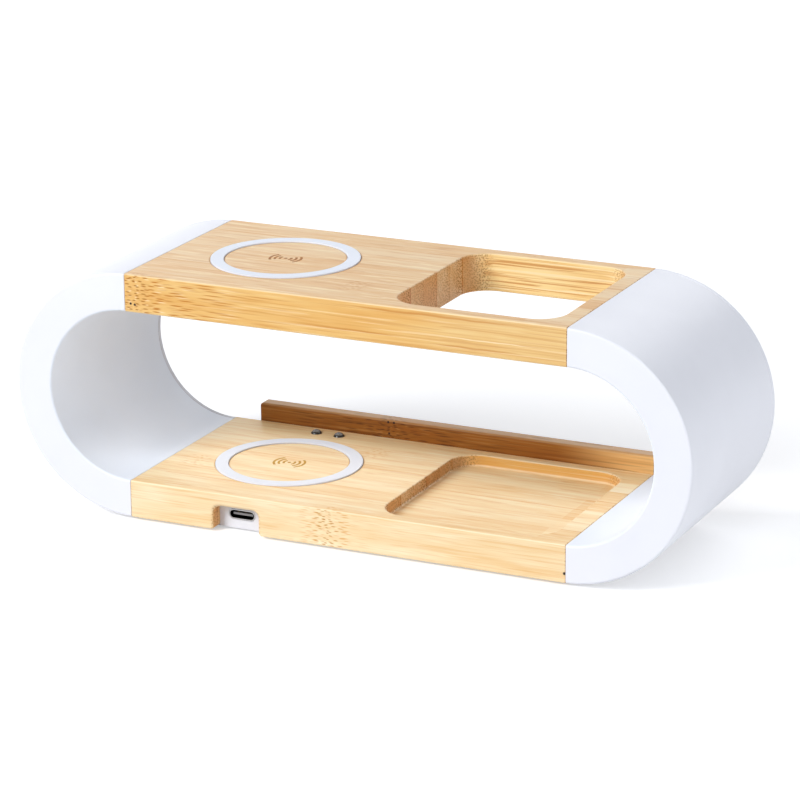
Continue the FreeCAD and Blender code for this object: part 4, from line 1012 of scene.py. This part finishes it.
# %% Shape the shank, the tip and the thread
straight = screw.sum("SUBTRACT", screw.size("Length"), screw.size("Point"))
shank = screw.node("GeometryNodeMeshCylinder", {
    "Vertices": 20, "Radius": screw.half("Shank"), "Depth": straight})
shank = screw.lifted(shank, screw.sum("MULTIPLY_ADD", straight, 0.5, screw.size("Head Height")))
tip = screw.node("GeometryNodeMeshCone", {
    "Vertices": 20, "Radius Bottom": screw.half("Shank"), "Radius Top": 0.0, "Depth": screw.size("Point")})
tip = screw.lifted(tip, screw.sum("ADD", screw.size("Head Height"), straight))
spiral = screw.node("GeometryNodeCurveSpiral", {
    "Resolution": 24, "Rotations": screw.size("Turns"), "Start Radius": screw.half("Shank"),
    "End Radius": screw.half("Shank"), "Height": straight})
ridge_height = screw.product(screw.sum("SUBTRACT", screw.size("Thread"), screw.size("Shank")), 0.5)
ridge = screw.node("GeometryNodeCurvePrimitiveCircle", {"Resolution": 4, "Radius": ridge_height})
thread = screw.lifted(screw.swept(spiral, ridge), screw.size("Head Height"))
print("turns of the thread:", screw.sizes["Turns"])

# %% Set four screws in each cover
corners = screw.node("GeometryNodeMeshGrid", {
    "Size X": screw.size("Pitch X"), "Size Y": screw.size("Pitch Y"), "Vertices X": 2, "Vertices Y": 2})
screws = screw.node("GeometryNodeInstanceOnPoints", {
    "Points": corners, "Instance": screw.joined(head, shank, tip, thread)})
screw.finish(screw.moved(screws, screw.size("Centre")), screw_zinc)

for node in nodes_of("screw_steel"):
    low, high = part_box(node)
    middle = (low + high) / 2
    pitch = high - low - Vector((1, 1, 0)) * screw.sizes["Head"]
    grow(node + "_crossed", screw, "screw_steel", [node], centre=(middle.x, middle.y, low.z), pitch_x=pitch.x,
         pitch_y=pitch.y)

# %% [markdown]
# ## The charging coils
# Under each ring a flat coil of copper wire sends the power. One spiral from the inner to the outer edge,
# swept with a circle, is the winding as it is really wound.

# %% Wind the coils
winding = Grower("flat_winding", centre=(0.0, 0.0, 0.0), bore=20.0 * MM, diameter=43.0 * MM, wire=0.95 * MM,
                 turns=11.0)
inner = winding.sum("MULTIPLY_ADD", winding.size("Wire"), 0.5, winding.half("Bore"))
outer = winding.sum("MULTIPLY_ADD", winding.size("Wire"), -0.5, winding.half("Diameter"))
spiral = winding.node("GeometryNodeCurveSpiral", {
    "Resolution": 64, "Rotations": winding.size("Turns"), "Start Radius": inner, "End Radius": outer,
    "Height": 0.0})
wire = winding.node("GeometryNodeCurvePrimitiveCircle", {"Resolution": 10, "Radius": winding.half("Wire")})
winding.finish(winding.moved(winding.swept(spiral, wire), winding.size("Centre")), coil_copper)

for node in nodes_of("copper_winding"):
    low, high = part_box(node)
    grow(node + "_wound", winding, "copper_winding", [node], smooth=True, centre=tuple((low + high) / 2))

# %% [markdown]
# ## The inlet's tongue
# Only the front edge of the tongue is seen from outside, as a grey line in the dark opening: that edge is
# painted pale as a highlight, and the rest is black plastic. The way that the face points tells the two
# apart.

# %% Mix the tongue's finish
TONGUE_BLACK = colour(0.006, 0.006, 0.007)
TONGUE_EDGE_HIGHLIGHT = colour(0.30, 0.30, 0.31)

tongue = Finish("tongue_grey")
grit = tongue.noise(tongue.place(), 6.0, 3.0)
to_the_back = tongue.split(tongue.node("ShaderNodeNewGeometry", {}, "Normal"))[1]
# painted highlight: faces that point to the front are made pale grey
tongue.set(base_color=tongue.mix(tongue.ramp(to_the_back, -0.4, -0.9), TONGUE_BLACK, TONGUE_EDGE_HIGHLIGHT),
           roughness=tongue.ramp(grit, *NOISE_RANGE, 0.35, 0.5))
tongue.bump(grit, 0.2, 0.01)
dress(tongue.material, "usb_c_tongue")
print("tongue finish:", tongue.material.name)

# %% [markdown]
# ## The inlet's contacts
# The tongue carries twelve gilded contacts above and twelve below. A row of points at a fixed pitch gets
# one small strip each, and the row is used twice, half a tongue above its middle and half a tongue below
# it.

# %% Grow the contacts
CONTACTS = 12
SETBACK = 0.6 * MM

contact = Grower("inlet_contacts", centre=(0.0, 0.0, 0.0), pitch=0.5 * MM, width=0.25 * MM, length=2.6 * MM,
                 thickness=0.06 * MM, tongue=0.7 * MM)
row = contact.node("GeometryNodeMeshLine", {
    "Count": CONTACTS, "Offset": contact.point(contact.size("Pitch"), 0.0, 0.0)})
strip_size = contact.point(contact.size("Width"), contact.size("Length"), contact.size("Thickness"))
strip = contact.node("GeometryNodeMeshCube", {"Size": strip_size})
contacts = contact.node("GeometryNodeInstanceOnPoints", {"Points": row, "Instance": strip})
aside = contact.product(contact.size("Pitch"), -(CONTACTS - 1) / 2)
above = contact.moved(contacts, contact.point(aside, 0.0, contact.half("Tongue")))
below = contact.moved(contacts, contact.point(aside, 0.0, contact.product(contact.half("Tongue"), -1.0)))
contact.finish(contact.moved(contact.joined(above, below), contact.size("Centre")), contact_gold)

low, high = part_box("usb_c_tongue")
contact_y = low.y + SETBACK + contact.sizes["Length"] / 2
contact_centre = ((low.x + high.x) / 2, contact_y, (low.z + high.z) / 2)
grow("inlet_contacts", contact, "copper_winding", centre=contact_centre)
